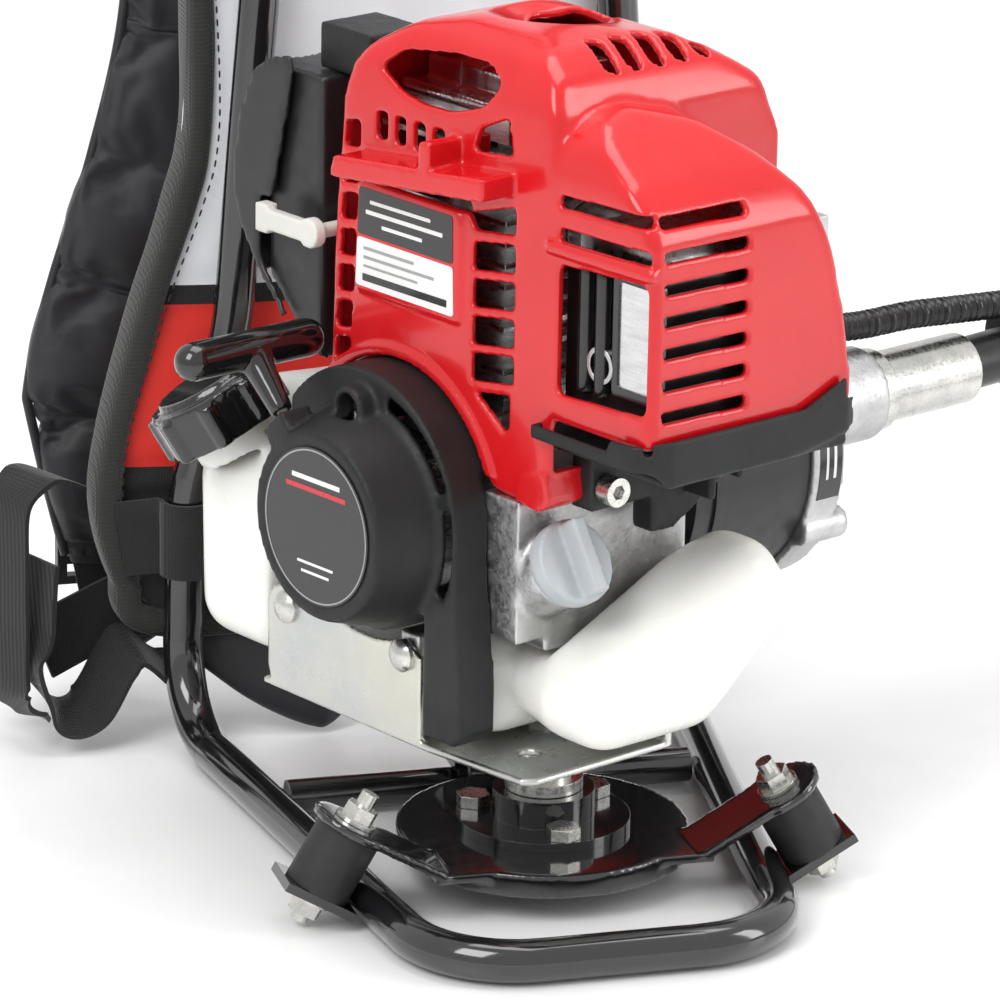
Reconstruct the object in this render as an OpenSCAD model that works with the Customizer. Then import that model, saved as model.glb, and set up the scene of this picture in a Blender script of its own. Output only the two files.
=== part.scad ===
// Backpack concrete vibrator: a small four-stroke engine on a sprung turntable in a tube
// carrying frame, with a harness, a flexible drive hose, a throttle grip and a vibrating head.
// Millimetres. +Z is up, +Y points to the wearer's back, and the origin is on the ground
// under the turntable's swivel axis.

/* [Frame] */
// Outside diameter of the frame tube
tube_d = 14; // [12:1:15]
// Overall height of the frame
frame_h = 470; // [450:5:500]
// Half width of the base at the front corners
base_front_x = 58; // [57:1:60]
// Half width of the base at the back feet
base_back_x = 90; // [88:1:92]
// Distance from the swivel axis to the front bar
base_front_y = 91; // [90:1:94]
// Distance from the swivel axis to the uprights
upright_y = 146; // [145:1:148]

/* [Turntable] */
// Outside radius of the turntable plate
plate_r = 49; // [47:1:50]
// Diameter of the rubber mounts
rubber_d = 22; // [20:1:22]
// Lean of the two front rubber mounts
mount_lean = 30; // [28:1:32]
// Height of the hub flange's underside
hub_z = 17; // [16:1:18]
// Diameter of the swivel post
post_d = 18; // [16:1:18]

/* [Engine] */
// Turn of the engine on its turntable, from the frame's X axis
engine_yaw = 25; // [10:1:35]
// Height of the crankshaft
crank_z = 131.5; // [131:0.5:133]
// Bore of the cylinder
bore_d = 39; // [38:0.5:39]
// Stroke of the piston
stroke = 30; // [28:1:30]
// Top of the engine cover
cover_top_z = 295; // [294:1:298]

/* [Drive] */
// Outside diameter of the hose
hose_d = 19; // [18:1:20]
// Diameter of the vibrating head
head_d = 28; // [26:1:30]
// Length of the vibrating head's tube
head_len = 290; // [260:10:320]

/* [Harness] */
// Half width of the back pad at its widest
pad_x = 116; // [113:1:119]
// Thickness of the back pad
pad_t = 20; // [16:1:22]

/* [Hidden] */

$fn = 48;
gap = 0.03;             // running clearance, on the radius
eps = 0.5;              // overshoot of a cutting solid, and of a bar into its bend
swell = 0.05;           // a bend is this much thicker than its bars
tube_r = tube_d / 2;
tube_z = tube_r;

// Frame: half of the tube's centre line, from the top bar down to the front corner
half_pts = [[15, upright_y, frame_h], [60, upright_y, frame_h], [62, upright_y, 280],
    [72, upright_y, 150], [base_back_x - 2, upright_y, 90], [base_back_x, upright_y, tube_z],
    [base_front_x, -base_front_y, tube_z]];
half_bends = [0, 40, 200, 120, 60, 32, 36];
frame_pts = concat(half_pts, [for (i = [6 : -1 : 0]) [-half_pts[i].x, half_pts[i].y, half_pts[i].z]]);
frame_bends = concat(half_bends, [for (i = [6 : -1 : 0]) half_bends[i]]);

// Rubber mounts: each stands on a tab, along an axis that leans in at the top
rubber_r = rubber_d / 2;
rubber_len = 22;
ear_t = 3;
tab_t = 3;
front_mount = [84.5, -29, 12.5];
rear_mount = [0, 84, tube_d + tab_t];
stud_r = 3;
nut_d = 11.5;

// Turntable, hub and swivel
hub_bolt_r = 24;
hub_r = 29;
hub_top_z = 30;
post_r = post_d / 2;
bush_r = post_r + 3.5;
bracket_z = 58;
bracket_t = 2.5;
flange_bolts = [-9, 9];

// Engine axes: x towards the drive, y towards the air cleaner
crank_y = 19.5;
cyl_r = bore_d / 2;
deck_z = 166;
head_z = 236;
rocker_z = 262;
throw_r = stroke / 2;
rod_len = 55;
scroll_c = [crank_y + 2, crank_z + 1.8];
scroll_r = 46.5;
dome_r = 37;
housing_x = -62;
dome_x = -82;
wall = 2.5;
guard_t = 1.9;

// Starter rope
reel_r = 22;
reel_x = -74;
pull_lean = 45;
pull_dir = [0, sin(pull_lean), cos(pull_lean)];
rope_r = 1.75;
grip_at = [reel_x, 64, crank_z + 47];
rope_start = grip_at - 36 * pull_dir;

// Drive line, hose and head, in engine axes
nose_x = 158;
ferrule_x = 206;
hose_r = hose_d / 2;
core_r = 4;
hose_bore_r = 5.5;
floor_z = 16;
hose_path = [[176, crank_y, crank_z], [360, crank_y, crank_z + 4], [455, crank_y - 10, floor_z],
    [540, crank_y - 60, floor_z], [530, crank_y - 330, floor_z], [410, crank_y - 330, floor_z]];
hose_bends = [0, 110, 75, 75, 70, 0];
head_r = head_d / 2;
head_at = hose_path[5];
conduit_r = 5;
grip_x = 268;

// ---------------------------------------------------------------- helpers
function unit(v) = v / norm(v);
function mix3(a, b, t) = a + t * (b - a);
function half_angle(a, b, c) = acos(unit(a - b) * unit(c - b)) / 2;
function trim(a, b, c, bend) = bend / tan(half_angle(a, b, c));

module place(origin, ex, ey, ez)
    multmatrix([[ex.x, ey.x, ez.x, origin.x], [ex.y, ey.y, ez.y, origin.y],
        [ex.z, ey.z, ez.z, origin.z], [0, 0, 0, 1]]) children();

// Moves children so that their Z axis starts at `a` and points along `dir`
module aim(a, dir) {
    ez = unit(dir);
    side = abs(ez.x) < 0.9 ? [1, 0, 0] : [0, 1, 0];
    ey = unit(cross(ez, side));
    place(a, cross(ey, ez), ey, ez) children();
}

module rod(a, b, r) aim(a, b - a) cylinder(r = r, h = norm(b - a));

// The bend at `b`, a hair thicker than the straight bars so that they end inside it
module elbow(a, b, c, bend, r) {
    u = unit(a - b);
    v = unit(c - b);
    half = half_angle(a, b, c);
    start = b + u * bend / tan(half);
    centre = b + unit(u + v) * bend / sin(half);
    ex = unit(start - centre);
    place(centre, ex, -u, cross(ex, -u))
        rotate_extrude(angle = 180 - 2 * half) translate([bend, 0]) circle(r = r + swell);
}

// A round bar through `pts`, bent at each inner point with its own centre-line radius
module bent_bar(pts, bends, r) {
    last = len(pts) - 1;
    for (i = [0 : last - 1]) {
        d = unit(pts[i + 1] - pts[i]);
        a = i == 0 ? 0 : trim(pts[i - 1], pts[i], pts[i + 1], bends[i]) - eps;
        b = i == last - 1 ? 0 : trim(pts[i], pts[i + 1], pts[i + 2], bends[i + 1]) - eps;
        rod(pts[i] + d * a, pts[i + 1] - d * b, r);
    }
    for (i = [1 : last - 1]) elbow(pts[i - 1], pts[i], pts[i + 1], bends[i], r);
}

// Flat outline in (y, z), drawn out along x from x0 to x1
module along_x(x0, x1) translate([x0, 0, 0]) rotate([90, 0, 90]) linear_extrude(x1 - x0) children();

// Flat outline in (x, z), drawn out along y from y0 to y1
module along_y(y0, y1) translate([0, y1, 0]) rotate([90, 0, 0]) linear_extrude(y1 - y0) children();

// A bar along the crankshaft's line
module crank_bar(x0, x1, r) translate([x0, crank_y, crank_z]) rotate([0, 90, 0]) cylinder(r = r, h = x1 - x0);

module on_engine() rotate([0, 0, engine_yaw]) children();

module block(low, high) translate(low) cube(high - low);

module hex_bolt(r, af, head, shank) {
    cylinder(d = af / cos(30), h = head, $fn = 6);
    translate([0, 0, -shank]) cylinder(r = r, h = shank);
}

module both_sides() {
    children();
    mirror([1, 0, 0]) children();
}

// Places children on a front mount: origin on the tab's top face, Z up the mount
module at_front_mount() translate(front_mount) rotate([0, -mount_lean, 0]) children();

module at_rear_mount() translate(rear_mount) children();

// A flat padded band through `pts`, `w` wide across `side` and `t` thick
module band(pts, side, w, t) {
    for (i = [0 : len(pts) - 2])
        hull() for (p = [pts[i], pts[i + 1]])
            rod(p - side * (w - t) / 2, p + side * (w - t) / 2, t / 2, $fn = 16);
}

// ---------------------------------------------------------------- carrying frame
module frame_tube() color("black") {
    bent_bar(frame_pts, frame_bends, tube_r);
    rod([-16, upright_y, frame_h], [16, upright_y, frame_h], tube_r + swell);
    both_sides() at_front_mount() difference() {
        translate([-13, -10, -tab_t]) cube([26, 20, tab_t]);
        translate([0, 0, -tab_t - eps]) cylinder(r = stud_r + 0.3, h = 10);
    }
}

module cross_tube() {
    y = 66;
    side_slope = (base_back_x - base_front_x) / (upright_y + base_front_y);
    x = base_front_x + side_slope * (y - tube_r + base_front_y) - tube_r * 1.02 - 0.1;
    color("black") difference() {
        union() {
            rod([-x, y, tube_z], [x, y, tube_z], tube_r - 1);
            block([-12, y - 4, tube_z], [12, y + 4, rear_mount.z]);
            block([-14, y - 6, tube_d], [14, rear_mount.y + 14, rear_mount.z]);
        }
        translate([0, rear_mount.y, 0]) cylinder(r = stud_r + 0.3, h = 30);
    }
}

module rubber_body() difference() {
    translate([0, 0, 0.05]) cylinder(r = rubber_r, h = rubber_len - 0.1);
    translate([0, 0, -eps]) cylinder(r = stud_r + 0.2, h = rubber_len + 1);
}

module rubber_mounts() color("dimgray") {
    both_sides() at_front_mount() rubber_body();
    at_rear_mount() rubber_body();
}

// One stud with a flange nut under the tab and one over the ear
module stud() {
    translate([0, 0, -tab_t - 9]) cylinder(r = stud_r, h = rubber_len + ear_t + tab_t + 20);
    for (z = [-tab_t - 6.1, rubber_len + ear_t + 0.1]) translate([0, 0, z]) cylinder(d = nut_d, h = 6, $fn = 6);
    for (z = [-tab_t - 1.5, rubber_len + ear_t + 0.1]) translate([0, 0, z]) cylinder(r = 7, h = 1.4);
}

module mount_studs() color("silver") {
    both_sides() at_front_mount() stud();
    at_rear_mount() stud();
}

module turntable_plate() {
    z = hub_z - 3;
    ear_top = rear_mount.z + rubber_len;
    color("black") difference() {
        union() {
            translate([0, 0, z]) cylinder(r = plate_r - 3, h = 3);
            translate([0, 0, z - 5]) rotate_extrude() translate([plate_r - 4, 0]) square([4, 8]);
            both_sides() {
                at_front_mount() translate([0, 0, rubber_len]) {
                    cylinder(r = 14, h = ear_t);
                    translate([-34, -12, 0]) cube([34, 24, ear_t]);
                }
                block([22, -40, z], [47, -18, hub_z]);
            }
            at_rear_mount() translate([0, 0, rubber_len]) cylinder(r = 14, h = ear_t);
            along_x(-12, 12) polygon([[84, ear_top], [66, ear_top], [50, z], [36, z], [36, hub_z], [48.4, hub_z],
                [64.4, ear_top + ear_t], [84, ear_top + ear_t]]);
        }
        translate([0, 0, z - eps]) cylinder(r = bush_r + 2, h = 10);
        for (a = [30, 150, 270]) rotate(a) translate([hub_bolt_r, 0, 0]) cylinder(r = 3.3, h = 40);
        both_sides() at_front_mount() cylinder(r = stud_r + 0.3, h = 60);
        at_rear_mount() cylinder(r = stud_r + 0.3, h = 60);
    }
}

module hub_flange() color("black") difference() {
    union() {
        translate([0, 0, hub_z]) cylinder(r = hub_r, h = 3.5);
        translate([0, 0, hub_z]) cylinder(r = 17, h = hub_top_z - hub_z);
    }
    translate([0, 0, hub_z - eps]) cylinder(r = bush_r, h = 40);
    for (a = [30, 150, 270]) rotate(a) translate([hub_bolt_r, 0, 0]) cylinder(r = 3.2, h = 40);
}

module hub_bolts() color("silver")
    for (a = [30, 150, 270]) rotate(a) translate([hub_bolt_r, 0, hub_z + 3.6]) hex_bolt(3, 10, 4, 12);

module pivot_bush() color("goldenrod") difference() {
    translate([0, 0, hub_z + 0.1]) cylinder(r = bush_r - 0.02, h = hub_top_z - hub_z - 0.2);
    translate([0, 0, hub_z - eps]) cylinder(r = post_r + gap, h = 40);
}

// ---------------------------------------------------------------- harness
pad_y = upright_y + tube_r + 1;
left_edge = [[-96, 39], [-110, 54], [-pad_x, 82], [2 - pad_x, 108], [-101.4, 158], [-91, 192], [-85.5, 225],
    [-84, 330], [-78, 400], [-60, 442]];
right_edge = [[56, 442], [64, 400], [66, 265], [72, 205], [98, 165], [pad_x - 6, 110], [92, 40]];

module back_pad()
    color("whitesmoke") along_y(pad_y, pad_y + pad_t) polygon(concat(left_edge, right_edge));

module lumbar_pad() color("black")
    along_y(pad_y + pad_t + 1, pad_y + pad_t + 19) polygon([[-92, 52], [92, 52], [98, 92], [-98, 92]]);

// The left strap stands out to the side, and the right one hangs straight behind the pad.
left_strap = [[-58, 196, 425], [-61, 204, 380], [-64, 208, 320], [-67, 208, 250], [-79, 207, 198],
    [-93, 210, 155], [-101, 211, 124], [-105, 211, 92], [-107, 211, 69]];
right_strap = [[40, 186, 425], [42, 188, 392], [44, 190, 330], [46, 190, 262], [60, 190, 200],
    [84, 190, 156], [96, 190, 124]];

module shoulder_straps() color("black") {
    band(left_strap, [-0.96, 0.28, 0], 58, 15);
    band(right_strap, [1, 0, 0], 58, 15);
}

module strap_webbing() color("black") {
    band([[-103, 209, 36], [-99, 203, 30], [-93, 194, 25]], [-0.96, 0.28, 0], 26, 2.4);
    band([[-95, 178, 44], [-108, 176, 40], [-124, 171, 35], [-138, 166, 30]], [0, 0.25, 1], 24, 2.4);
    band([[-142, 165, 84], [-147, 166, 62], [-148, 165, 38], [-146, 163, 18], [-139, 160, 6]], [-0.95, 0.3, 0], 26, 2.4);
    band([[113, 186, 92], [113, 182, 60], [113, 176.5, 34]], [1, 0, 0], 26, 2.4);
}

module buckle() difference() {
    block([-17, -2.5, -9], [17, 2.5, 9]);
    for (z = [-6, 1.5]) block([-13.5, -4, z], [13.5, 4, z + 4.5]);
}

module strap_buckles() color("dimgray") {
    translate([-104, 211, 48]) buckle();
    translate([108, 188, 104]) buckle();
}

module tube_loops() color("black") difference() {
    both_sides() for (at = [[88, 62], [62, 300]])
        block([at.x - 10, upright_y - 10, at.y], [at.x + 10, pad_y - 0.4, at.y + 26]);
    bent_bar(frame_pts, frame_bends, tube_r + 0.4);
}

// ---------------------------------------------------------------- engine mounting
module pivot_post() on_engine() color("silver") difference() {
    post_blank();
    for (y = flange_bolts) translate([-9, y, bracket_z - 12]) cylinder(r = 3.1, h = 20);
}

module post_blank() {
    translate([0, 0, hub_z - 6]) cylinder(r = post_r, h = bracket_z - bracket_t - hub_z + 6);
    translate([0, 0, hub_top_z + 0.2]) cylinder(r = post_r + 4, h = 4);
    translate([0, 0, bracket_z - bracket_t - 6]) cylinder(r = 16, h = 6);
    translate([0, 0, hub_z - 9]) cylinder(r = bush_r + 1, h = 5.5);
}

bracket_front_x = -55;
bracket_back_x = 11;

module engine_bracket() on_engine() color("lightsteelblue") {
    x0 = bracket_front_x;
    x1 = bracket_back_x;
    z0 = bracket_z - bracket_t;
    difference() {
        translate([0, 0, z0]) linear_extrude(bracket_t)
            polygon([[x0, -6], [x0 + 4, -47], [x0 + 8, -50], [x1, -50], [x1, 80], [x0, 80]]);
        translate([-33, -30, 0]) cylinder(r = 3.4, h = 100);
        for (y = flange_bolts) translate([-9, y, 0]) cylinder(r = 3.2, h = 100);
    }
    difference() {
        along_x(x0, x0 + bracket_t) polygon([[-1, z0], [71, z0], [76, z0 + 2], [78, z0 + 7], [78, 87], [75, 91],
            [70, 93], [63, 92], [8, 91], [-1, 86]]);
        translate([x0 - 1, crank_y + 8, 137]) rotate([0, 90, 0]) cylinder(r = 50, h = 5);
        for (y = [67.7, 7.9]) translate([x0 - 1, y, 85.5]) rotate([0, 90, 0]) cylinder(r = 3.2, h = 5);
    }
    along_x(x1 - bracket_t, x1) polygon([[-50, z0], [80, z0], [80, 70], [-46, 70], [-50, 66]]);
}

module bracket_bolts() on_engine() color("silver") {
    for (y = [67.7, 7.9]) translate([bracket_front_x, y, 85.5]) rotate([0, -90, 0]) {
        intersection() {
            cylinder(r = 5.5, h = 4);
            translate([0, 0, -4]) sphere(r = 7.6);
        }
        translate([0, 0, -12]) cylinder(r = 3, h = 12);
    }
    for (y = flange_bolts) translate([-9, y, bracket_z + 0.1]) hex_bolt(3, 10, 2.4, 7);
}

// ---------------------------------------------------------------- engine castings
module oil_axis(h) translate([-35, -50, crank_z - 3.5]) rotate([90 - 32, 0, 0]) translate([0, 0, h]) children();

module crankcase() on_engine() color("gainsboro") difference() {
    union() {
        crank_bar(-34, 36, 36);
        block([-35, -39, 95], [25, crank_y, 150]);
        block([-32, crank_y - 30, crank_z], [32, crank_y + 30, deck_z]);
        block([-35, crank_y, 95], [25, 62, 118]);
        block([-52.4, 62, 78], [-30, 73, 112]);
        block([-52.4, 3, 78], [-34, 13, 93]);
        block([-36.3, 3, 80], [-30, 13, 97]);
        oil_axis(-32) cylinder(r = 12.2, h = 28);
        block([-47.2, -38.8, 100], [-30, -21, 147.5]);
    }
    block([-60, -60, deck_z], [60, 80, 200]);
    crank_bar(-26, 28, 29);
    crank_bar(-40, 40, 8 + gap);
    translate([0, crank_y, crank_z]) cylinder(r = cyl_r + 1, h = 60);
    oil_axis(-20) cylinder(r = 8.5, h = 30);
    for (y = [67.7, 7.9]) translate([-53, y, 85.5]) rotate([0, 90, 0]) cylinder(r = 3, h = 13);
}

module cylinder_fins() for (i = [0 : 11])
    translate([-31, crank_y - 31, deck_z + 7 + i * 7]) cube([62, 62, 1.8]);

module engine_cylinder() on_engine() color("silver") difference() {
    union() {
        translate([0, crank_y, deck_z + 0.1]) cylinder(r = cyl_r + 5, h = rocker_z - deck_z - 6);
        cylinder_fins();
        translate([-28, crank_y - 28, deck_z + 0.1]) cube([56, 56, 5]);
        translate([-27, crank_y - 27, rocker_z - 8]) cube([54, 54, 8]);
        for (s = [0, 1]) translate([0, crank_y, 224]) rotate([s ? 90 : -90, 0, 0]) cylinder(r = 11, h = 36);
    }
    translate([0, crank_y, deck_z - eps]) cylinder(r = cyl_r, h = head_z - deck_z - 12);
    translate([-22, crank_y - 14, head_z + 4]) cube([44, 28, 40]);
    for (s = [0, 1]) translate([0, crank_y, 224]) rotate([s ? 90 : -90, 0, 0]) translate([0, 0, 21]) cylinder(r = 7, h = 20);
    at_plug() cylinder(r = 5, h = 20);
}

module rocker_cover() on_engine() color("silver") difference() {
    union() {
        translate([-27, crank_y - 27, rocker_z + 0.1]) cube([54, 54, 4]);
        translate([-21, crank_y - 21, rocker_z + 0.1]) cube([42, 42, 12]);
        translate([0, crank_y, rocker_z + 11]) intersection() {
            translate([0, 0, -24]) sphere(r = 33);
            cylinder(r = 20, h = 12);
        }
    }
    translate([-19.5, crank_y - 14, rocker_z - 1]) cube([39, 28, 12]);
}

module crankshaft() on_engine() color("silver") {
    for (x = [[-42, -9], [9, 76]]) crank_bar(x[0], x[1], 8);
    for (x = [-15, 9]) difference() {
        crank_bar(x, x + 6, 24);
        translate([x - 1, crank_y, crank_z + throw_r]) rotate([0, 90, 0]) cylinder(r = 5, h = 8);
    }
}

module piston() on_engine() color("lightgray") {
    pin_z = crank_z + throw_r + rod_len;
    difference() {
        translate([0, crank_y, pin_z - 10]) cylinder(r = cyl_r - 0.06, h = 22);
        translate([0, crank_y, pin_z - 11]) cylinder(r = cyl_r - 3, h = 19);
        translate([0, crank_y, pin_z]) rotate([0, 90, 0]) cylinder(r = 5.02, h = 40, center = true);
    }
    translate([-17, crank_y, pin_z]) rotate([0, 90, 0]) cylinder(r = 5, h = 34);
}

module connecting_rod() on_engine() color("lightgray") {
    z0 = crank_z + throw_r;
    difference() {
        union() {
            translate([-5, crank_y, z0]) rotate([0, 90, 0]) cylinder(r = 9, h = 10);
            translate([-5, crank_y, z0 + rod_len]) rotate([0, 90, 0]) cylinder(r = 8, h = 10);
            block([-3, crank_y - 5, z0 + 3], [3, crank_y + 5, z0 + rod_len - 3]);
        }
        translate([-6, crank_y, z0]) rotate([0, 90, 0]) cylinder(r = 5.02, h = 12);
        translate([-6, crank_y, z0 + rod_len]) rotate([0, 90, 0]) cylinder(r = 5.05, h = 12);
    }
    translate([-7, crank_y, z0]) rotate([0, 90, 0]) cylinder(r = 5, h = 14);
}

module camshaft() on_engine() color("silver") translate([0, crank_y, 254]) rotate([0, 90, 0]) {
    translate([0, 0, -17]) cylinder(r = 4, h = 36);
    for (z = [-8, 4]) translate([0, 0, z]) {
        cylinder(r = 6, h = 5);
        translate([3, 0, 0]) cylinder(r = 4.5, h = 5);
    }
    translate([0, 0, 14]) cylinder(r = 9.5, h = 5);
}

module at_plug() translate([18, crank_y + 24, 246]) rotate([-60, 0, 0]) children();

module spark_plug() on_engine() color("white") at_plug() {
    translate([0, 0, 5]) cylinder(r = 4.9, h = 8);
    translate([0, 0, 13]) cylinder(r = 7.5, h = 6, $fn = 6);
    translate([0, 0, 19]) cylinder(r = 4.5, h = 12);
}

module plug_cap() on_engine() color("black") difference() {
    union() {
        block([-30, 58, 262], [-6, 84, 277]);
        at_plug() translate([0, 0, 20]) cylinder(r = 7.5, h = 18);
        block([-10, 68, 263], [16, 80, 272]);
    }
    at_plug() translate([0, 0, 10]) cylinder(r = 5, h = 22);
}

module ignition_coil() on_engine() color("black") {
    block([-52, -4, 161.5], [-42, 12, 168]);
    block([-50, 1, 167], [-40, 11, 171]);
}

// ---------------------------------------------------------------- covers
// Front outline of the cover in (y, z), pulled in by `inset`
function cover_front(i) = [[57 - i, 160 - 3 * i], [55 - i, 262 - i], [44 - i, 280 - i], [26, cover_top_z - 3 - i],
    [6, cover_top_z - i], [-20, cover_top_z - 1 - i], [-38, cover_top_z - 8 - i], [-52, 277 - i],
    [-84, 257 - i], [-94 + i, 246 - i], [-97 + i, 230 - i], [-97 + i, 177 - 3 * i], [-45, 177 - 3 * i],
    [-45, 152 - 3 * i], [-40, 148 - 3 * i]];

// Side outline in (x, z): the top falls away towards the drive
function cover_side(i) = [[-45 + i, 120], [-47 + i, 240], [-46 + i, 280 - i], [-38 + i, 293 - i], [-26, 296 - i],
    [20, 288 - i], [44 - i, 274 - i], [52 - i, 256 - i], [54 - i, 200], [52 - i, 120]];

module cover_blank(i) intersection() {
    along_x(-60, 60) polygon(cover_front(i));
    along_y(-110, 70) polygon(cover_side(i));
}

module top_cover() on_engine() color("crimson") difference() {
    cover_blank(0);
    cover_blank(wall);
    translate([-70, scroll_c.x, scroll_c.y]) rotate([0, 90, 0]) cylinder(r = scroll_r + 1, h = 35);
    crank_bar(30, 70, 53);
    block([-36, -41, 100], [37, 60, deck_z + 2]);
    // windows in the front face
    for (z = [200 : 12.5 : 250]) block([-60, -34, z], [-30, -16, z + 9]);
    for (z = [168 : 13 : 246]) block([-60, 43, z], [-30, 50, z + 9]);
    block([-60, -14, 238], [-30, 40, 250]);
    block([-60, -2, 264], [-30, 38, 276]);
    block([-60, -34, 258], [-30, -18, 270]);
    // exhaust window and slots
    block([-60, -90, 184], [-30, -52, 232]);
    for (z = [239, 250]) block([-60, -86, z], [-30, -52, z + 5]);
    for (z = [186 : 10.5 : 250]) block([-40, -110, z], [-6, -80, z + 5]);
    // openings in the top
    for (i = [0 : 4]) block([-16 + i * 9, -48, 260], [-11 + i * 9, -30, 300]);
    block([-14, -12, 270], [30, 22, 310]);
    // intake port and spark plug
    block([-18, 45, 196], [20, 70, 240]);
    block([0, 40, 240], [28, 70, 275]);
}

module muffler() on_engine() color("silver") difference() {
    union() {
        block([-31, -86, 186], [38, -47, 238]);
        block([-28, -88, 190], [35, -45.5, 234]);
        translate([0, -17, 224]) rotate([90, 0, 0]) cylinder(r = 10, h = 30);
        translate([-39, -66, 198]) rotate([0, 90, 0]) cylinder(r = 6, h = 10);
    }
    block([-29, -84, 188], [36, -49, 236]);
    translate([0, -10, 224]) rotate([90, 0, 0]) cylinder(r = 7, h = 45);
    translate([-40, -66, 198]) rotate([0, 90, 0]) cylinder(r = 4.5, h = 12);
}

module heat_shield() on_engine() color("black") difference() {
    union() {
        block([-36, -91, 182], [-34.5, -47, 232]);
        block([-34.5, -91, 182], [30, -89.5, 232]);
    }
    translate([-40, -66, 198]) rotate([0, 90, 0]) cylinder(r = 7, h = 12);
}

// Plan of the guard's rim, drawn in by `i`
function guard_plan(i) = [[-50 + i, -46 - i], [-50 + i, -88], [-49 + 0.9 * i, -93.5 + 0.4 * i],
    [-45 + 0.6 * i, -98 + 0.8 * i], [-38, -100 + i], [36, -100 + i], [41 - 0.7 * i, -97.5 + 0.7 * i],
    [45 - i, -91], [45 - i, -46 - i]];

module guard_rim() intersection() {
    difference() {
        translate([0, 0, 160]) linear_extrude(35) polygon(guard_plan(0));
        translate([0, 0, 155]) linear_extrude(45) polygon(guard_plan(guard_t));
    }
    along_y(-101, -45) polygon([[-51, 172], [-44, 171], [-38, 166], [12, 166.5], [33, 170], [45, 172],
        [45, 181.5], [-44, 181.5], [-51, 180]]);
    along_x(-51, 45) polygon([[-101, 160], [-101, 190], [-86, 190], [-82, 176.5], [-45, 176.5], [-45, 160]]);
}

module muffler_guard() on_engine() color("dimgray") difference() {
    union() {
        guard_rim();
        along_y(-100, guard_t - 100) polygon([[17, 181], [36, 181], [36, 189]]);
        block([-39, -98.5, 166], [38, -47, 168.5]);
        along_y(-56, -46) polygon([[-6, 134], [4, 134], [40, 156], [40, 167], [-6, 167]]);
        for (i = [0 : 2]) block([6 + 12 * i, -70, 146 + 5 * i], [9 + 12 * i, -55, 167]);
        block([-32, -56, 146], [-5, -46, 167]);
    }
    translate([-26, -40, 153]) rotate([90, 0, 0]) cylinder(r = 3.2, h = 30);
    for (x = [-30 : 14 : 30]) block([x, -88, 160], [x + 6, -62, 172]);
    for (drop = [0, 1]) translate([0, 0, -drop]) cover_blank(-0.3);
}

// Outline of the fan housing in (y, z): a scroll round the flywheel and a leg
module housing_outline(i) {
    translate([crank_y, crank_z]) circle(r = dome_r + 1 - i);
    intersection() {
        translate(scroll_c) circle(r = scroll_r - i);
        translate([-44 + i, crank_z - 10]) square([102 - 2 * i, 90]);
    }
    polygon([[-24.4 + i, 129], [-27.5 + i, 101], [-29.5 + i, 85], [-29.5 + i, 69 + i], [-26 + i, 65 + i],
        [-10 - i, 65 + i], [-10 - i, 126]]);
}

module slot_ring(r0, r1, a0, a1) along_x(housing_x - 1, housing_x + 4) translate([crank_y, crank_z])
    intersection() {
        difference() {
            circle(r = r1);
            circle(r = r0);
        }
        polygon([[0, 0], for (a = [a0 : (a1 - a0) / 4 : a1 + 0.1]) [-80 * sin(a), 80 * cos(a)]]);
    }

module recoil_housing() on_engine() color("black") difference() {
    union() {
        along_x(housing_x, -36.5) housing_outline(0);
        translate([dome_x, crank_y, crank_z]) rotate([0, 90, 0]) cylinder(r1 = 31, r2 = dome_r, h = 20.1);
        translate([-69, 21, 168]) rotate([0, 90, 0]) cylinder(r = 7.5, h = 20);
        aim(grip_at - 38 * pull_dir, pull_dir) translate([-6, -6.5, 0]) cube([12, 13, 12]);
    }
    difference() {
        along_x(housing_x + wall, -30) housing_outline(wall);
        translate([-60, 21, 168]) rotate([0, 90, 0]) cylinder(r = 6.2, h = 30);
    }
    translate([dome_x + 2, crank_y, crank_z]) rotate([0, 90, 0]) cylinder(r1 = 28.5, r2 = dome_r - 2.5, h = 21);
    crank_bar(dome_x - 1, dome_x + 0.6, 26.5);
    translate([-70, 21, 168]) rotate([0, 90, 0]) cylinder(r = 5, h = 12);
    translate([-70, 21, 168]) rotate([0, 90, 0]) cylinder(r = 2.6, h = 40);
    aim(grip_at - 44 * pull_dir, pull_dir) cylinder(r = rope_r + 1, h = 50);
    slot_ring(38.7, 43.4, 14, 66);
    slot_ring(38.7, 43, 74, 116);
    block([-57, -1.5, 50], [-30, 90, 94]);
    block([-47.5, -60, 60], [-30, -20, 166]);
    block([-47.5, -60, 60], [-30, 2, 112]);
}

module housing_screws() on_engine() color("silver") {
    translate([-62.5, 21, 168]) rotate([0, 90, 0]) {
        difference() {
            cylinder(r = 4.2, h = 4.4);
            translate([0, 0, -eps]) cylinder(r = 2.2, h = 3, $fn = 6);
        }
        translate([0, 0, 4]) cylinder(r = 2.5, h = 22);
    }
    translate([-26, -56.2, 153]) rotate([90, 0, 0]) {
        difference() {
            cylinder(r = 4.8, h = 6);
            translate([0, 0, 3]) cylinder(r = 2.5, h = 4, $fn = 6);
        }
        translate([0, 0, -14]) cylinder(r = 3, h = 14);
    }
    for (a = [20, 140, 200, 320]) translate([102.1, crank_y + 44 * cos(a), crank_z + 44 * sin(a)])
        rotate([0, 90, 0]) cylinder(r = 4, h = 4);
}

// ---------------------------------------------------------------- fuel, air and ignition
cap_dir = unit([-0.37, 0.367, 0.854]);
cap_at = [-55, 101, 142];

module rounded(points, r) hull() for (p = points) translate(p) sphere(r = r, $fn = 24);

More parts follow.
